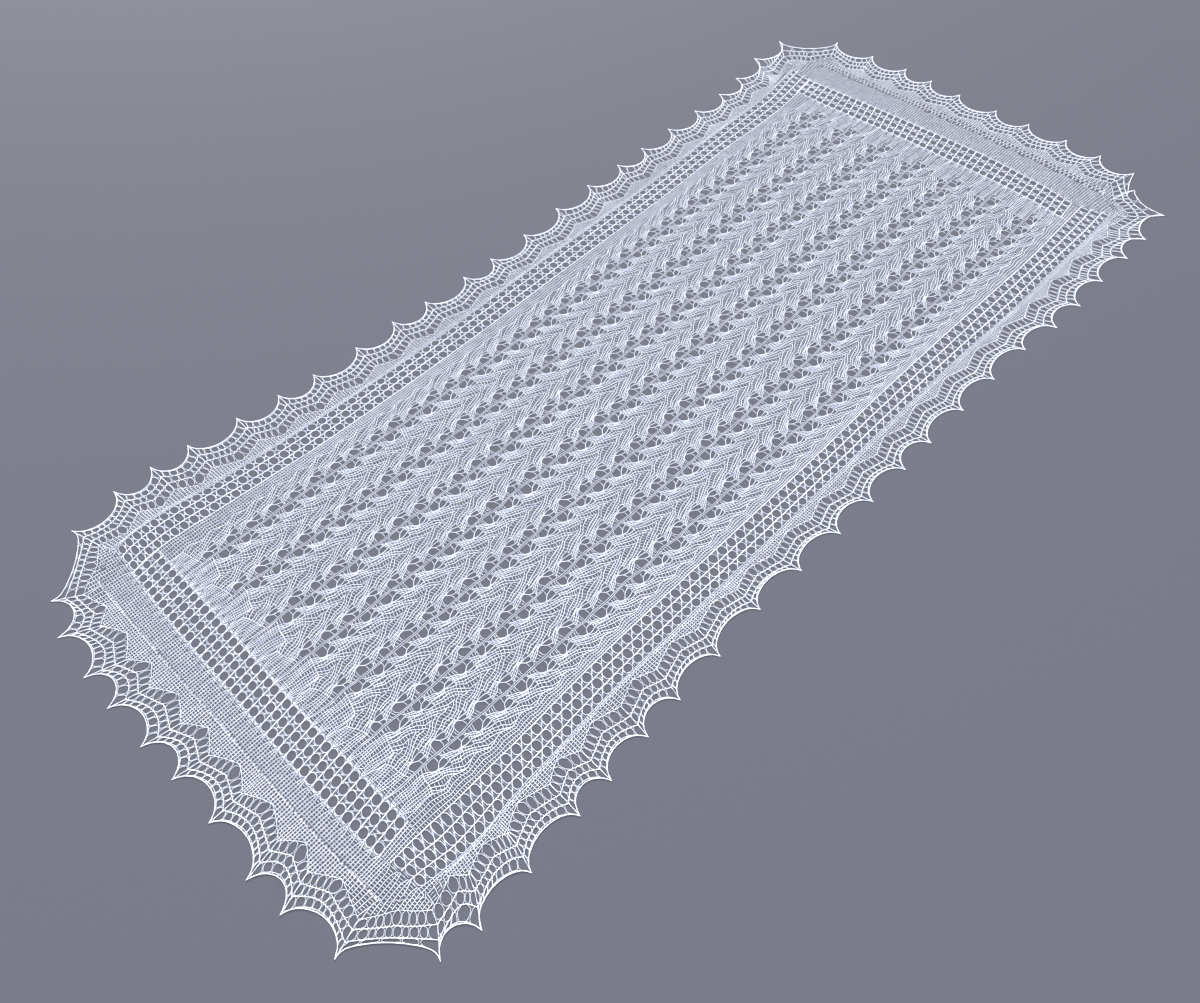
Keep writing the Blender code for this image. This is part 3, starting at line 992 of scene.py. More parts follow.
def rungs_of_half_fan(wales):
    """Both ends of every rung of a half fan, as (out, up)."""
    firsts, seconds = [], []
    for number in range(math.ceil(FIRST_COURSE * COURSES), math.floor(LAST_COURSE * COURSES) + 1):
        course = number / COURSES
        at_spine = (SPINE_OUT, course - float(lean(SPINE_OUT)))
        stops = sorted([at_spine] + stops_on(course, wales, PAST_BIRTH)) + [(1.0, course - LEAN)]
        for first, second in zip(stops, stops[1:]):
            middle = ((first[0] + second[0]) / 2, (first[1] + second[1]) / 2)
            if second[0] - first[0] >= SHORTEST_RUNG and not in_a_hole(*middle):
                firsts.append(first)
                seconds.append(second)
    return np.array(firsts), np.array(seconds)


def lay_half_fan(threads, fan):
    """The wales, the rungs and the rims of the holes of half a column of fans."""
    wales = wales_of_half_fan()
    for up, out, course in wales:
        ups, outs = clip_way(up, out, course)
        if len(ups) >= 2:
            lay_way(threads, fan.at(outs, ups), LACE_WALE, overrun=0.8)
    firsts, seconds = rungs_of_half_fan(wales)
    rungs = rungs_between(fan.at(*firsts.T), fan.at(*seconds.T), sag=RUNG_SAG)
    threads.lay(rungs, RUNG, jitter=0.22)
    rows = np.arange(FAN_ROWS)[:, None]
    for arc in ARCS:
        up, out = np.array(arc).T
        rims = fan.at(np.tile(out, (FAN_ROWS, 1)), up + rows)
        threads.lay(rims, RIM, jitter=0.3, lift=0.15)


def lay_panel(threads):
    """The wave panel: its fans, two wales to each spine, and the wale along each of its borders."""
    for spine in range(SPINES):
        for side in (-1, 1):
            lay_half_fan(threads, HalfFan(spine, side))
        low, high = row_y(FIRST_COURSE) - SPINE_OVER[0], row_y(LAST_COURSE) + SPINE_OVER[1]
        y = np.arange(low, high, SPINE_STEP)
        for side in (-1, 1):
            lay_way(threads, np.stack([spine_x(spine, y) + side * SPINE_HALF, y], -1), SPINE_WALE)
    for gap, later in ((0, 0.0), (SPINES, RIGHT_LATER)):
        low, high = row_y(FIRST_COURSE - LEAN + later), row_y(LAST_COURSE - LEAN + later)
        y = np.arange(low, high, BORDER_STEP)
        lay_way(threads, np.stack([meeting_x(gap, y), y], -1), LACE_WALE)


# ---------------------------------------------------------------------------------------------
# Plain knitting and eyelets of the centre
# ---------------------------------------------------------------------------------------------

# The spacing of wales and courses in the plain knitting, which is about the real one.
WALE_SPACING = 4.2
COURSE_SPACING = 3.4
# Beside the eyelets' bars the wales are drawn together to this share of their spacing, and open out
# within this reach of the bars' ends.
GATHERED = 0.42
GATHER_REACH = 10.0
INNER_GATHER_REACH = 15.0
# From an eyelet's middle to where its bars begin.
EYELET_REACH = 7.0
# The plain border of an end: how deep it is laid before the seam cuts it, how many of its wales
# stand to each bar, and the wales past the last bars.
BORDER_DEPTH = 82.0
WALES_BETWEEN_BARS = 3
WALES_IN_STRIP = 4
OUTER_WALE_SPACING = 4.3
OUTER_WALES = 9
# Its wales fan out into the corners: how far at a depth, how that grows with the depth, and how far
# along the end it reaches.
CORNER_FAN = 9.0
CORNER_FAN_DEPTH = 40.0
CORNER_FAN_POWER = 1.3
CORNER_FAN_REACH = 45.0
# At the near end the border's wales run on over the seam, by this much of a course.
RUN_ON = (0.9, 1.4)
# In a corner the border reaches into the two next scallops by this share of them.
CORNER_LAP = 0.04
# Half the gap that the closed seam leaves, and the holes along the open seam of each end: half
# their height, their spacing, and how far out from the seam the middles of their rows are. The
# centre's own knitting ends unevenly, this many times half their height in from the first row.
SEAM_GAP = 0.5
Holes = namedtuple("Holes", "reach pitch rows")
NEAR_HOLES = Holes(1.4, 5.4, (0.0,))
FAR_HOLES = Holes(3.7, 7.5, (3.4, 11.8))
RAGGED = (0.3, 1.4)
# Points to a scallop of the loop of the seam, and of the uneven one.
SEAM_POINTS = 10
RAGGED_POINTS = 24
# Places about which the rows and the bars are read off where one place is enough.
ROWS_READ_AT = 300.0
MARGIN_READ_AT = 350.0
SIDES_READ_AT = 800.0

# Half of an eyelet's rim: share of the way across, and height above its middle as a share of the
# spacing of the eyelets.
EYELET_RIM = table_of(
    "across height",
    (-0.08, 0.03),
    (0.02, 0.19),
    (0.16, 0.32),
    (0.50, 0.375),
    (0.84, 0.32),
    (0.98, 0.19),
    (1.08, 0.03),
)
# The yarn between the eyelets of an end: how far it stays clear of the eyelets' middles and how far
# its slanting thread runs over that, in mm, its level rungs as shares of the way between, the rungs
# outside all rows in mm, and how much of the way between two bars their own threads take.
ROW_CLEAR = 6.0
SLANT_OVER = 1.6
ROW_RUNGS = (0.2, 0.8)
ROW_END_RUNGS = (6.3, 8.1)
END_BAR_SHARE = 0.06
# The same between the eyelets of a side. The left side's diagonals cross, and the right side's run
# one way between three rungs; the rungs' places are shares of the spacing.
Between = namedtuple("Between", "clear slant rungs")
CROSSED = Between(2.8, RIM, (-0.14, 0.14))
ONE_WAY = Between(1.8, ZIGZAG, (-0.16, 0.0, 0.16))
COLUMN_END_RUNGS = (4.9, 6.6)
BAR_CLEAR = 0.8
# Outside a side's eyelets one wale stands halfway to the seam, and the rungs end just short of it.
OUTSIDE_WALES = (0.0, 0.5, 0.9)
# Where the first and the last eyelet of each column of a side stand, from the inside out.
Column = namedtuple("Column", "first last")
LEFT_COLUMNS = (Column(122.5, 1556.8), Column(123.2, 1559.0), Column(124.8, 1563.6))
RIGHT_COLUMNS = (Column(118.6, 1559.0), Column(121.4, 1563.0), Column(121.4, 1568.0))
# The names of a side's bars, from the inside out.
LEFT_BARS = ("left_3", "left_2", "left_1", "outer_left")
RIGHT_BARS = ("right_3", "right_2", "right_1", "outer_right")


def lay_wales(threads, lines, every=2):
    """Wales along the second axis of a grid of points. Points outside the cloth are nan."""
    for line in lines:
        inside = np.flatnonzero(~np.isnan(line[:, 0]))
        if len(inside) < 2:
            continue
        picked = inside[::every]
        if picked[-1] != inside[-1]:
            picked = np.append(picked, inside[-1])
        lay_way(threads, line[picked], PLAIN_WALE, jitter=0.12)


def lay_courses(threads, lines):
    """A rung from wale to wale at each course of a grid."""
    first, second = lines[:-1].reshape(-1, 2), lines[1:].reshape(-1, 2)
    good = ~(np.isnan(first[:, 0]) | np.isnan(second[:, 0]))
    threads.lay(rungs_between(first[good], second[good]), PLAIN_RUNG, jitter=0.2)


def lay_grid(threads, lines):
    """Plain knitting over a grid of points: wales, and a rung at each course."""
    lay_wales(threads, lines)
    lay_courses(threads, lines)


def lay_upright(threads, first_x, second_x, y, shares, within=None):
    """Plain knitting between two upright lines that have threads of their own, with wales at these
    shares of the way, and inside a loop if there is one."""
    lines = [np.stack([first_x + (second_x - first_x) * share, y], -1) for share in shares]
    grid = np.array(lines)
    if within is not None:
        grid[~inside_loop(grid, within)] = np.nan
    lay_wales(threads, grid[1:-1], every=3)
    lay_courses(threads, grid)


def seam_is_open(pin):
    """The seam stands open, as a row of holes, along both ends but not around the corners."""
    return walk.sides[pin] in (NEAR, FAR) and walk.corner_of(pin) is None


def holes_of(pin):
    return FAR_HOLES if walk.sides[pin] is FAR else NEAR_HOLES


def seam_loop(drawn_in):
    """The loop of the seam, or the uneven loop where the centre's own knitting ends inside it."""
    loop, gaps = [], []
    for pin in range(walk.count):
        steps = RAGGED_POINTS if drawn_in else SEAM_POINTS
        loop.append(walk.seam(pin, np.arange(steps) / steps))
        gap = holes_of(pin).reach * chance.uniform(*RAGGED, steps) - holes_of(pin).rows[0]
        gaps.append(gap if seam_is_open(pin) else np.full(steps, SEAM_GAP))
    loop = np.concatenate(loop)
    along = np.roll(loop, -1, axis=0) - np.roll(loop, 1, axis=0)
    along /= np.hypot(*along.T)[:, None]
    inward = np.stack([-along[:, 1], along[:, 0]], -1)
    return loop + inward * np.concatenate(gaps)[:, None] * drawn_in


SEAM_LOOP = seam_loop(drawn_in=False)
CENTRE_LOOP = seam_loop(drawn_in=True)


def inside_loop(points, loop):
    """Which points lie inside a loop: a line to the right of them crosses it an odd number of
    times."""
    x1, y1 = loop[:, 0], loop[:, 1]
    x2, y2 = np.roll(x1, -1), np.roll(y1, -1)
    px, py = points[..., 0][..., None], points[..., 1][..., None]
    spans = (y1 > py) != (y2 > py)
    rise = np.where(y2 == y1, 1.0, y2 - y1)
    crossing = x1 + (py - y1) / rise * (x2 - x1)
    return (np.count_nonzero(spans & (crossing > px), axis=-1) % 2).astype(bool)


def left_seam(y):
    return smooth(SIDE_BOW, "left_seam", y)


def right_seam(y):
    return smooth(SIDE_BOW, "right_seam", y)


def bar_x(name, y):
    return smooth(BARS, name, y)


def end_bar_x(end, number, y):
    """Where an end's bar runs at a height; number counts from the left column's bar."""
    number = np.asarray(number, dtype=float)
    base = end.first_bar + (end.last_bar - end.first_bar) * number / EYELETS_IN_ROW
    return base + (smooth(end.rows, "middle", base) - y) * smooth(end.slants, "slant", base)


def row_height(end, row, x):
    return smooth(end.rows, row, x)


def edge_height(end, x, outside):
    """Where the bars of an end begin, outside its outer row or inside its inner row."""
    if outside:
        return row_height(end, "outer", x) + end.outward * EYELET_REACH
    return row_height(end, "inner", x) - end.outward * EYELET_REACH


def gather(x, bars, away, within=GATHER_REACH):
    """Draws wales together towards the nearest bar, within reach of the eyelets."""
    reach = np.clip(away / within, 0, 1)
    keep = GATHERED + (1 - GATHERED) * np.sin(reach * math.pi / 2)
    nearest = bars[np.argmin(np.abs(x[..., None] - bars), axis=-1)]
    return nearest + (x - nearest) * keep


def bars_outside(end):
    """The places of all bars where the plain border of an end begins, from left to right. The
    innermost bar of the left side is the first bar of the end."""

    def of_side(names):
        heights = [edge_height(end, bar_x(name, end.rows[0].outer), True) for name in names]
        return [float(bar_x(name, height)) for name, height in zip(names, heights)]

    numbers = np.arange(EYELETS_IN_ROW + 1)
    heights = edge_height(end, end_bar_x(end, numbers, end.rows[2].outer), True)
    of_end = list(end_bar_x(end, numbers, heights))
    return np.array(of_side(LEFT_BARS[:0:-1]) + of_end + of_side(RIGHT_BARS))


def lay_level(threads, across, level, jitter):
    """Rungs from bar to bar. across gives the points at a height and a share of the way across."""
    threads.lay(rungs_between(across(level, 0.0), across(level, 1.0)), BAND_RUNG, jitter=jitter)


def lay_rims(threads, across, y, pitch, jitter):
    """The lower and the upper half of the rims of eyelets between two bars."""
    for sign in (-1, 1):
        arc = [across(y + sign * rim.height * pitch, rim.across) for rim in EYELET_RIM]
        threads.lay(np.stack(arc, axis=1), RIM, jitter=jitter)


def lay_end_rows(threads, end):
    """Three rows of eyelets across an end, between slanting bars."""
    numbers = np.arange(EYELETS_IN_ROW + 1)
    middle_x = end_bar_x(end, numbers, row_height(end, "middle", ROWS_READ_AT))
    for number, x in zip(numbers, middle_x):
        y = np.linspace(edge_height(end, x, False), edge_height(end, x, True), 9)
        lay_way(threads, np.stack([end_bar_x(end, number, y), y], -1), BAR, jitter=0.15)
    eyelet_x = (middle_x[:-1] + middle_x[1:]) / 2

    def across(y, share):
        share = END_BAR_SHARE + share * (1 - 2 * END_BAR_SHARE)
        return np.stack([end_bar_x(end, numbers[:-1] + share, y), y], -1)

    heights = [row_height(end, row, eyelet_x) for row in ("outer", "middle", "inner")]
    pitch = np.abs(heights[0] - heights[2]) / 2
    for y in heights:
        lay_rims(threads, across, y, pitch, jitter=0.2)
    for y, other in zip(heights, heights[1:]):
        low, high = np.minimum(y, other) + ROW_CLEAR, np.maximum(y, other) - ROW_CLEAR
        for share in ROW_RUNGS:
            lay_level(threads, across, low + (high - low) * share, jitter=0.3)
        foot, head = across(low - SLANT_OVER, 0.0), across(high + SLANT_OVER, 1.0)
        threads.lay(rungs_between(foot, head), RIM, jitter=0.3)
    for y, outward in ((heights[0], end.outward), (heights[2], -end.outward)):
        for step in ROW_END_RUNGS:
            lay_level(threads, across, y + outward * step, jitter=0.2)


def border_grid(end):
    """The plain border outside an end's rows. Its wales leave the bars in threes and fan out into
    the corners. The strip between the end's last bar and the side's first one holds one more."""
    bars = bars_outside(end)
    strip = len(bars) - len(RIGHT_BARS) - 1
    even = []
    for number, (bar, after) in enumerate(zip(bars, bars[1:])):
        wales = WALES_IN_STRIP if number == strip else WALES_BETWEEN_BARS
        even += list(np.linspace(bar, after, wales, endpoint=False))
    even += [bars[-1]]
    outside = OUTER_WALE_SPACING * np.arange(1, OUTER_WALES + 1)
    even = np.concatenate([bars[0] - outside[::-1], even, bars[-1] + outside])
    start = edge_height(end, even, True)
    steps = np.arange(0.0, BORDER_DEPTH, COURSE_SPACING)
    x = np.repeat(even[:, None], len(steps), axis=1)
    # The plain wales outside all bars, and those of the strip, run on undisturbed.
    plain = (even > bars[strip] + 1) & (even < bars[strip + 1] - 1)
    plain |= (even > bars[-1] + 1) | (even < bars[0] - 1)
    x[~plain] = gather(x[~plain], bars, steps[None])
    from_left, from_right = np.maximum(even - bars[0], 0), np.maximum(bars[-1] - even, 0)
    fan = np.exp(-from_right / CORNER_FAN_REACH) - np.exp(-from_left / CORNER_FAN_REACH)
    x = x + CORNER_FAN * fan[:, None] * (steps / CORNER_FAN_DEPTH)[None] ** CORNER_FAN_POWER
    y = start[:, None] + end.outward * steps[None]
    return np.stack([x, y], -1)


def lay_border(threads, end):
    """The plain border of an end, as far as the uneven line where the centre's knitting ends."""
    grid = border_grid(end)
    inside = inside_loop(grid, CENTRE_LOOP)
    if end is NEAR_END:
        # Past the last rung the wales run on over the seam, so that a small hole is left between
        # each two of them.
        for line, last in zip(grid, np.count_nonzero(inside, axis=1)):
            if last:
                start, step = line[last - 1], line[last] - line[last - 1]
                reach = chance.uniform(*RUN_ON)
                on = np.stack([start, start + step * reach / 2, start + step * reach])
                threads.lay(on, PLAIN_WALE, jitter=0.1)
    grid[~inside] = np.nan
    lay_grid(threads, grid)


def lay_corner_plain(threads, pin):
    """In a corner the border's wales run on past the seam, up to the cells of the edging."""
    end = NEAR_END if walk.corners.index(pin) in (0, 3) else FAR_END
    late, early = np.linspace(1 - CORNER_LAP, 1, 3), np.linspace(0, CORNER_LAP, 3)
    around = ((pin - 1, late), (pin, np.linspace(0, 1, 21)), (walk.after(pin), early))
    loop = [walk.tooth_line(*part) for part in around]
    loop += [walk.between(number, part[::-1], 1.0) for number, part in around[::-1]]
    grid = border_grid(end)
    grid[~inside_loop(grid, np.concatenate(loop))] = np.nan
    lay_grid(threads, grid)


def column_heights(side, number):
    """The eyelets' heights in a column; columns count from the inside out."""
    columns, rise = (RIGHT_COLUMNS, "right_rise") if side > 0 else (LEFT_COLUMNS, "left_rise")
    fine = np.arange(columns[0].first, columns[0].last, 1.0)
    run = np.cumsum(1 / smooth(PITCHES, "pitch", fine))
    run = (run - run[0]) / (run[-1] - run[0]) * (EYELETS_IN_COLUMN - 1)
    y = np.interp(np.arange(EYELETS_IN_COLUMN), run, fine)
    y = y + number * smooth(PITCHES, rise, y)
    y[0], y[-1] = columns[number]
    return y


def lay_side_column(threads, inner_x, outer_x, y, kind):
    """One column of eyelets between two bars."""

    def across(height, share):
        a, b = inner_x(height), outer_x(height)
        return np.stack([a + (b - a) * share, height], -1)

    lay_rims(threads, across, y, np.gradient(y), jitter=0.15)
    gap = (y[:-1] + y[1:]) / 2
    reach = np.diff(y) / 2 - kind.clear

    def lay_slanting(rise, thread):
        ends = [across(gap - rise, 0.0), across(gap, 0.5), across(gap + rise, 1.0)]
        threads.lay(np.stack(ends, axis=1), thread, jitter=0.25)

    lay_slanting(-reach, kind.slant)
    if kind is CROSSED:
        lay_slanting(reach, CELL)
    for height in kind.rungs:
        lay_level(threads, across, gap + height * np.diff(y), jitter=0.3)
    for end, outward in ((0, -1), (-1, 1)):
        for step in COLUMN_END_RUNGS:
            lay_level(threads, across, y[[end]] + outward * step, jitter=0.1)


def lay_side_bands(threads):
    """The columns of eyelets down both long sides, their bars, and the plain wale outside them."""
    for side, names, kind in ((-1, LEFT_BARS, CROSSED), (1, RIGHT_BARS, ONE_WAY)):
        for number, name in enumerate(names):
            heights = column_heights(side, min(number, 2))
            y = np.linspace(heights[0] - EYELET_REACH, heights[-1] + EYELET_REACH, 180)
            bar = np.stack([bar_x(name, y), y], -1)
            lay_way(threads, bar, RIM if name is names[-1] else BAR, jitter=0.15)
        for number, (inner, outer) in enumerate(zip(names, names[1:])):
            lay_side_column(
                threads,
                lambda y: bar_x(inner, y) + side * BAR_CLEAR,
                lambda y: bar_x(outer, y) - side * BAR_CLEAR,
                column_heights(side, number),
                kind,
            )
        low = edge_height(NEAR_END, bar_x(names[-1], PITCHES[0].y), True)
        high = edge_height(FAR_END, bar_x(names[-1], PITCHES[-1].y), True)
        y = np.arange(low, high, COURSE_SPACING)
        seam = left_seam(y) if side < 0 else right_seam(y)
        lay_upright(threads, bar_x(names[-1], y), seam, y, OUTSIDE_WALES, SEAM_LOOP)


def even_shares(first_x, second_x):
    """Shares at which wales stand evenly between two upright lines."""
    number = round(np.mean(np.abs(second_x - first_x)) / WALE_SPACING)
    return np.linspace(0, 1, number + 1)


def lay_margins(threads):
    """Close plain wales between the eyelet bands and the wave panel."""
    for name, gap, later in (("left_3", 0, 0.0), ("right_3", SPINES, RIGHT_LATER)):
        read_at = bar_x(name, SIDES_READ_AT)
        low, high = (edge_height(end, read_at, False) for end in (NEAR_END, FAR_END))
        y = np.arange(low, high, COURSE_SPACING)
        first, last = row_y(FIRST_COURSE - LEAN + later), row_y(LAST_COURSE - LEAN + later)
        bar, border = bar_x(name, y), meeting_x(gap, np.clip(y, first, last))
        lay_upright(threads, bar, border, y, even_shares(bar, border))


def lay_inner_margins(threads):
    """Plain knitting between the end rows and the panel, where the wales spread into the fans. The
    left and the right half of a fan leave room for these numbers of courses."""
    for course, end, rows in ((FIRST_COURSE, NEAR_END, (9, 13)), (LAST_COURSE, FAR_END, (13, 9))):
        stops = stops_on(course, wales_of_half_fan())
        outs, ups = np.array([(SPINE_OUT, course)] + stops + [(1.0, course - LEAN)]).T
        even = np.linspace(SPINE_OUT, 1.0, len(outs))
        middle_y = edge_height(end, MARGIN_READ_AT, False)
        bars = end_bar_x(end, np.arange(EYELETS_IN_ROW + 1), middle_y)
        for spine in range(SPINES):
            for side, count in zip((-1, 1), rows):
                fan = HalfFan(spine, side)
                at_border = fan.meeting in (0, SPINES)
                last = fan.at(outs, ups)
                outer_x = last[-1, 0] if at_border else meeting_x(fan.meeting, middle_y)
                x = spine_x(spine, middle_y)
                x = x + (outer_x - x) * even
                start = np.stack([x, edge_height(end, x, False)], -1)
                share = np.linspace(0, 1, count + 1)
                ease = share * share * (3 - 2 * share)
                x = start[:, None, 0] + (last - start)[:, None, 0] * ease[None]
                y = start[:, None, 1] + (last - start)[:, None, 1] * share[None]
                drawn = gather(x, bars, np.abs(y - start[:, None, 1]), INNER_GATHER_REACH)
                if at_border:
                    drawn[-1] = x[-1]
                lay_grid(threads, np.stack([drawn, y], -1))


def lay_corner_strips(threads):
    """The plain wales between the end rows and the right eyelet band."""
    for end in (NEAR_END, FAR_END):
        outside = edge_height(end, end.last_bar, True) - end.outward * COURSE_SPACING
        low, high = sorted((outside, edge_height(end, end.last_bar, False)))
        y = np.arange(low, high + 0.1, COURSE_SPACING)
        bar, band = end_bar_x(end, EYELETS_IN_ROW, y), bar_x("right_3", y)
        lay_upright(threads, bar, band, y, even_shares(bar, band))


# ---------------------------------------------------------------------------------------------
# Edging
# ---------------------------------------------------------------------------------------------

# Cells of a scallop, and how unevenly a hand parts them, as a share of the scallop.
CELL_WIDTH = 7.6
CORNER_CELLS = 10
CELL_UNEVEN = 0.008
# How much of the way from slanting with the scallop to square across it a cell's threads stand.
CELL_SQUARENESS = 0.62
# The bend of a cell's side: how far along, and how far out towards the cell's middle. The outer row
# of cells bends a little less.
CELL_BEND = (
    (-0.05, 0.50),
    (0.06, 0.32),
    (0.20, 0.10),
    (0.50, 0.05),
    (0.80, 0.10),
    (0.94, 0.32),
    (1.05, 0.50),
)
CELL_BOWS = (0.8, 1.0, 1.0)
# The edge is worked double: a second line runs this far inside it between the pins.
EDGE_DOUBLE = 2.6
# The join of the edging's two ends, by shares of its scallop: its notch, its small point and that
# point's two sides. Its stitches swing this far either way, and the point's threads end this far
# below the notch, in mm.
JOIN_NOTCH = 0.655
JOIN_POINT = 0.6
JOIN_POINT_SIDES = (0.585, 0.615)
JOIN_STITCH = 1.3
JOIN_STITCHES = 8
JOIN_ROOT = 4.0
# Courses laid in from the seam before the teeth's edge cuts them, and how unevenly the wales begin
# along an open seam.
TOOTH_COURSES = 20
TOOTH_ROOTS = (-1.2, 0.8)
# The teeth have as many wales as suits a breadth between the seam's and the pins', nearer the
# seam's.
SEAM_WEIGHT = 0.6
# The sewing stitches of the closed seam, along and across it. A pair of threads between two holes
# runs past them, is this much wide to either side at its foot and at its head, and strays by this
# share of the holes' spacing.
SEWN_STITCH = 5.6
SEWN_SWING = 1.2
PAIR_OVER = 0.6
PAIR_FOOT = 1.1
PAIR_HEAD = 0.4
HOLE_STRAY = 0.16
# Where the first pair of a row stands, by the holes' spacing: the second row's stand between the
# first row's.
ROW_STARTS = (0.25, 0.75)


def cell_shares(number):
    """Where the cells of a scallop part, with a hand's unevenness."""
    shares = np.linspace(0, 1, number + 1)
    shares[1:-1] += chance.normal(0.0, CELL_UNEVEN, number - 1)
    return shares


def square_across(first_line, second_line, pin, shares):
    """Where threads from these shares of the first line meet the second: most of the way from the
    same share to the nearest point, so that the cells stand nearly square to the lines."""
    fine = np.linspace(0, 1, 121)
    away = second_line(pin, fine)[None] - first_line(pin, shares)[:, None]
    nearest = fine[np.hypot(away[..., 0], away[..., 1]).argmin(axis=1)]
    met = shares + (np.maximum.accumulate(nearest) - shares) * CELL_SQUARENESS
    met[0], met[-1] = 0, 1
    return met


def lay_cells(threads, first_line, second_line, pin, shares, bow):
    """Cells between two lines: two threads that bend together part each pair of cells."""

    def rooms(ends):
        """The room before and after each thread."""
        return np.diff(np.concatenate([[ends[-2] - 1], ends[:-1]])), np.diff(ends)

    met = square_across(first_line, second_line, pin, shares)
    for sign, first_room, second_room in zip((-1, 1), rooms(shares), rooms(met)):
        thread = []
        for way, flare in CELL_BEND:
            from_share = np.clip(shares[:-1] + sign * first_room * flare * bow, 0, 1)
            to_share = np.clip(met[:-1] + sign * second_room * flare * bow, 0, 1)
            first, second = first_line(pin, from_share), second_line(pin, to_share)
            thread.append(first + (second - first) * way)
        threads.lay(np.stack(thread, axis=1), CELL, jitter=0.1)


def lay_join(threads, pin):
    """Sewing stitches from the notch beside the join's small point in to the plain knitting."""
    numbers = np.arange(JOIN_STITCHES + 1)
    share = np.full(len(numbers), JOIN_NOTCH)
    notch = walk.edge(pin, share)
    line = notch + (walk.tooth_line(pin, share) - notch) * numbers[:, None] / JOIN_STITCHES
    for size in (JOIN_STITCH, -JOIN_STITCH):
        swing = np.where(numbers % 2, size, -size)
        lay_way(threads, line + np.stack([swing, swing * 0.3], -1), SEAM, jitter=0.2)
    point, root = walk.edge(pin, np.array(JOIN_POINT)), notch[0] - (0.0, JOIN_ROOT)
    for side in JOIN_POINT_SIDES:
        between = walk.edge(pin, np.array(side)) * 0.3 + notch[0] * 0.7
        lay_way(threads, np.stack([point, between, root]), SECOND_EDGE, jitter=0.2)


def lay_scallop(threads, pin):
    """A scallop of the edging: its double edge, its two zigzags, the teeth's line, and three rows
    of cells between them."""
    corner = walk.corner_of(pin)
    cells = CORNER_CELLS if corner else round(np.hypot(*walk.across(pin)) / CELL_WIDTH)
    fine = np.linspace(0, 1, 36)
    lay_way(threads, walk.edge(pin, fine), EDGE, jitter=0.1)
    if not corner:
        inward = walk.outer_zigzag(pin, fine) - walk.edge(pin, fine)
        inward /= np.maximum(np.hypot(*inward.T), 1e-6)[:, None]
        second = EDGE_DOUBLE * np.sin(math.pi * fine)[:, None]
        lay_way(threads, walk.edge(pin, fine) + inward * second, SECOND_EDGE, jitter=0.15)
    if pin == walk.corners[JOIN_CORNER]:
        lay_join(threads, pin)
    lay_way(threads, walk.outer_zigzag(pin, fine), ZIGZAG, jitter=0.12)
    lay_way(threads, walk.inner_zigzag(pin, fine), ZIGZAG, jitter=0.12)
    lay_way(threads, walk.tooth_line(pin, fine), RIM, jitter=0.15)
    lines = (walk.edge, walk.outer_zigzag, walk.inner_zigzag, walk.tooth_line)
    numbers = (cells // 2 if corner else cells, cells, cells - 1)
    for first_line, second_line, number, bow in zip(lines, lines[1:], numbers, CELL_BOWS):
        lay_cells(threads, first_line, second_line, pin, cell_shares(number), bow)


def seam_length(pin):
    """How long the seam is along a scallop, in mm."""
    return np.hypot(*np.diff(walk.seam(pin, np.linspace(0, 1, 9)), axis=0).T).sum()


def tooth_grid(pin):
    """Plain knitting between the cells and the seam: wales run in from the tooth's edge."""
    breadth = SEAM_WEIGHT * seam_length(pin) + (1 - SEAM_WEIGHT) * np.hypot(*walk.across(pin))
    number = max(4, round(breadth / WALE_SPACING))
    shares = (np.arange(number) + 0.5) / number
    start = walk.tooth_line(pin, shares)
    end = walk.between(pin, shares, 1.0)
    depth = np.hypot(*(end - start).T)
    gap = SEAM_GAP
    if seam_is_open(pin):
        gap = holes_of(pin).rows[-1] + holes_of(pin).reach
    away = np.arange(TOOTH_COURSES) * COURSE_SPACING + gap
    outward = (start - end) / np.maximum(depth, 1e-6)[:, None]
    grid = end[:, None] + outward[:, None] * away[None, :, None]
    if seam_is_open(pin):
        grid[:, 0] += outward * chance.uniform(*TOOTH_ROOTS, number)[:, None]
    grid[away[None, :] > depth[:, None] + 0.5] = np.nan
    return grid


def lay_teeth(threads, first, last):
    """The teeth of one side, whose courses run on past the pins; its last scallop is a corner."""
    lay_grid(threads, np.concatenate([tooth_grid(pin) for pin in range(first, last)]))
    lay_corner_plain(threads, last)


def beside_seam(pin, share, away):
    """Points beside the seam, some way out from it, and the seam's own direction there."""
    line, near = walk.seam(pin, share), 0.01
    along = walk.seam(pin, share + near) - walk.seam(pin, share - near)
    along /= np.hypot(*along.T)[:, None]
    outward = np.stack([along[:, 1], -along[:, 0]], -1)
    return line + outward * np.asarray(away, dtype=float)[..., None], along


def lay_holes(threads, pin, middle, late):
    """A row of holes beside the seam: pairs of stitches stand between them."""
    number = round(seam_length(pin) / holes_of(pin).pitch)
    stray = chance.uniform(-HOLE_STRAY, HOLE_STRAY, number)
    share = (np.arange(number) + late + stray) / number
    reach = holes_of(pin).reach + PAIR_OVER
    foot, along = beside_seam(pin, share, np.full(number, middle - reach))
    head, _ = beside_seam(pin, share, np.full(number, middle + reach))
    for sign in (-1, 1):
        pair = foot + along * sign * PAIR_FOOT, head + along * sign * PAIR_HEAD
        threads.lay(rungs_between(*pair), SEAM, jitter=0.2)


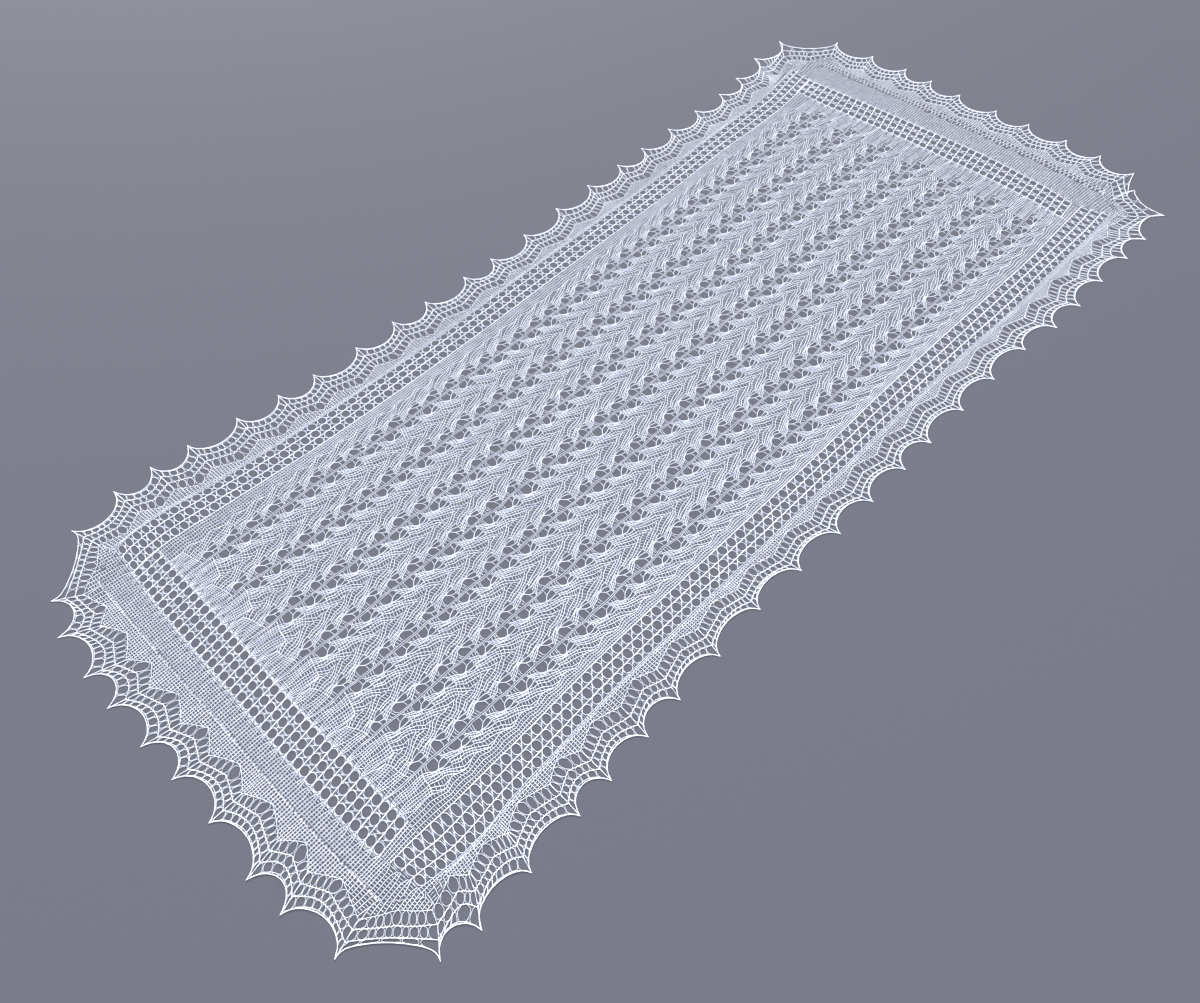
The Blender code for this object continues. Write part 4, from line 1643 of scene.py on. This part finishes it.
def lay_seam(threads, pin):
    """The stitches that join the edging's sewn edge to the centre. Along the ends they stand open,
    as a row of holes, and the far end has a second such row."""
    if not seam_is_open(pin):
        stitches = 2 * round(seam_length(pin) / SEWN_STITCH)
        away = np.where(np.arange(stitches + 1) % 2, SEWN_SWING, -SEWN_SWING)
        line, _ = beside_seam(pin, np.arange(stitches + 1) / stitches, away)
        lay_way(threads, line, BAND_RUNG, jitter=0.4)
        return
    rows = holes_of(pin).rows
    for middle, late in zip(rows, ROW_STARTS):
        lay_holes(threads, pin, middle, late)
    if len(rows) > 1:
        share = np.linspace(0, 1, 19)
        line, _ = beside_seam(pin, share, np.full(19, sum(rows) / 2))
        lay_way(threads, line, RIM, jitter=0.25)


# ---------------------------------------------------------------------------------------------
# Pieces
# ---------------------------------------------------------------------------------------------

# The centre's stretches: the heights between which they lie, and the size of the flat cloth in mm.
STRETCHES = table_of(
    "name low high width length",
    ("near_border", -100.0, 168.0, 637.0, 90.0),
    ("waves_1", 168.0, 500.0, 637.0, 332.0),
    ("waves_2", 500.0, 825.0, 609.0, 325.0),
    ("waves_3", 825.0, 1150.0, 615.0, 325.0),
    ("waves_4", 1150.0, 1500.0, 640.0, 350.0),
    ("far_border", 1500.0, 1900.0, 658.0, 122.0),
)
# The edging's sides: the depth and the length of the flat strip in mm.
STRIPS = table_of(
    "name depth length",
    ("near", 60.0, 678.0),
    ("right", 58.0, 1620.0),
    ("far", 75.0, 707.0),
    ("left", 65.0, 1610.0),
)


def add_piece(name, batches, material, slot, node, width, length):
    """Makes a piece, attaches it to the root body and hides the CAD part that it stands for."""
    piece = make_piece(name, batches, material)
    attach(piece, "root")
    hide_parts(node)


def cut_into(threads, low, high):
    """The threads whose middle lies between two heights."""
    cut = []
    for points, kind, jitter, lift in threads.batches:
        middle = points[:, :, 1].mean(axis=1)
        chosen = points[(middle >= low) & (middle < high)]
        if len(chosen):
            cut.append((chosen, kind, jitter, lift))
    return cut


centre = Threads()
lay_panel(centre)
lay_margins(centre)
lay_inner_margins(centre)
lay_side_bands(centre)
for end in (NEAR_END, FAR_END):
    lay_end_rows(centre, end)
    lay_border(centre, end)
lay_corner_strips(centre)

for stretch in STRETCHES:
    batches = cut_into(centre, stretch.low, stretch.high)
    size = (stretch.width, stretch.length)
    add_piece(stretch.name, batches, body_wool, "centre_wool", "centre", *size)

starts = [-1] + walk.corners
for number, strip in enumerate(STRIPS):
    edging = Threads()
    first, last = starts[number] + 1, starts[number + 1]
    for pin in range(first, last + 1):
        lay_scallop(edging, pin)
        lay_seam(edging, pin)
    lay_teeth(edging, first, last)
    size = (strip.depth, strip.length)
    name, node = strip.name + "_lace", "edging_" + strip.name
    add_piece(name, edging.batches, lace_wool, "edging_wool", node, *size)
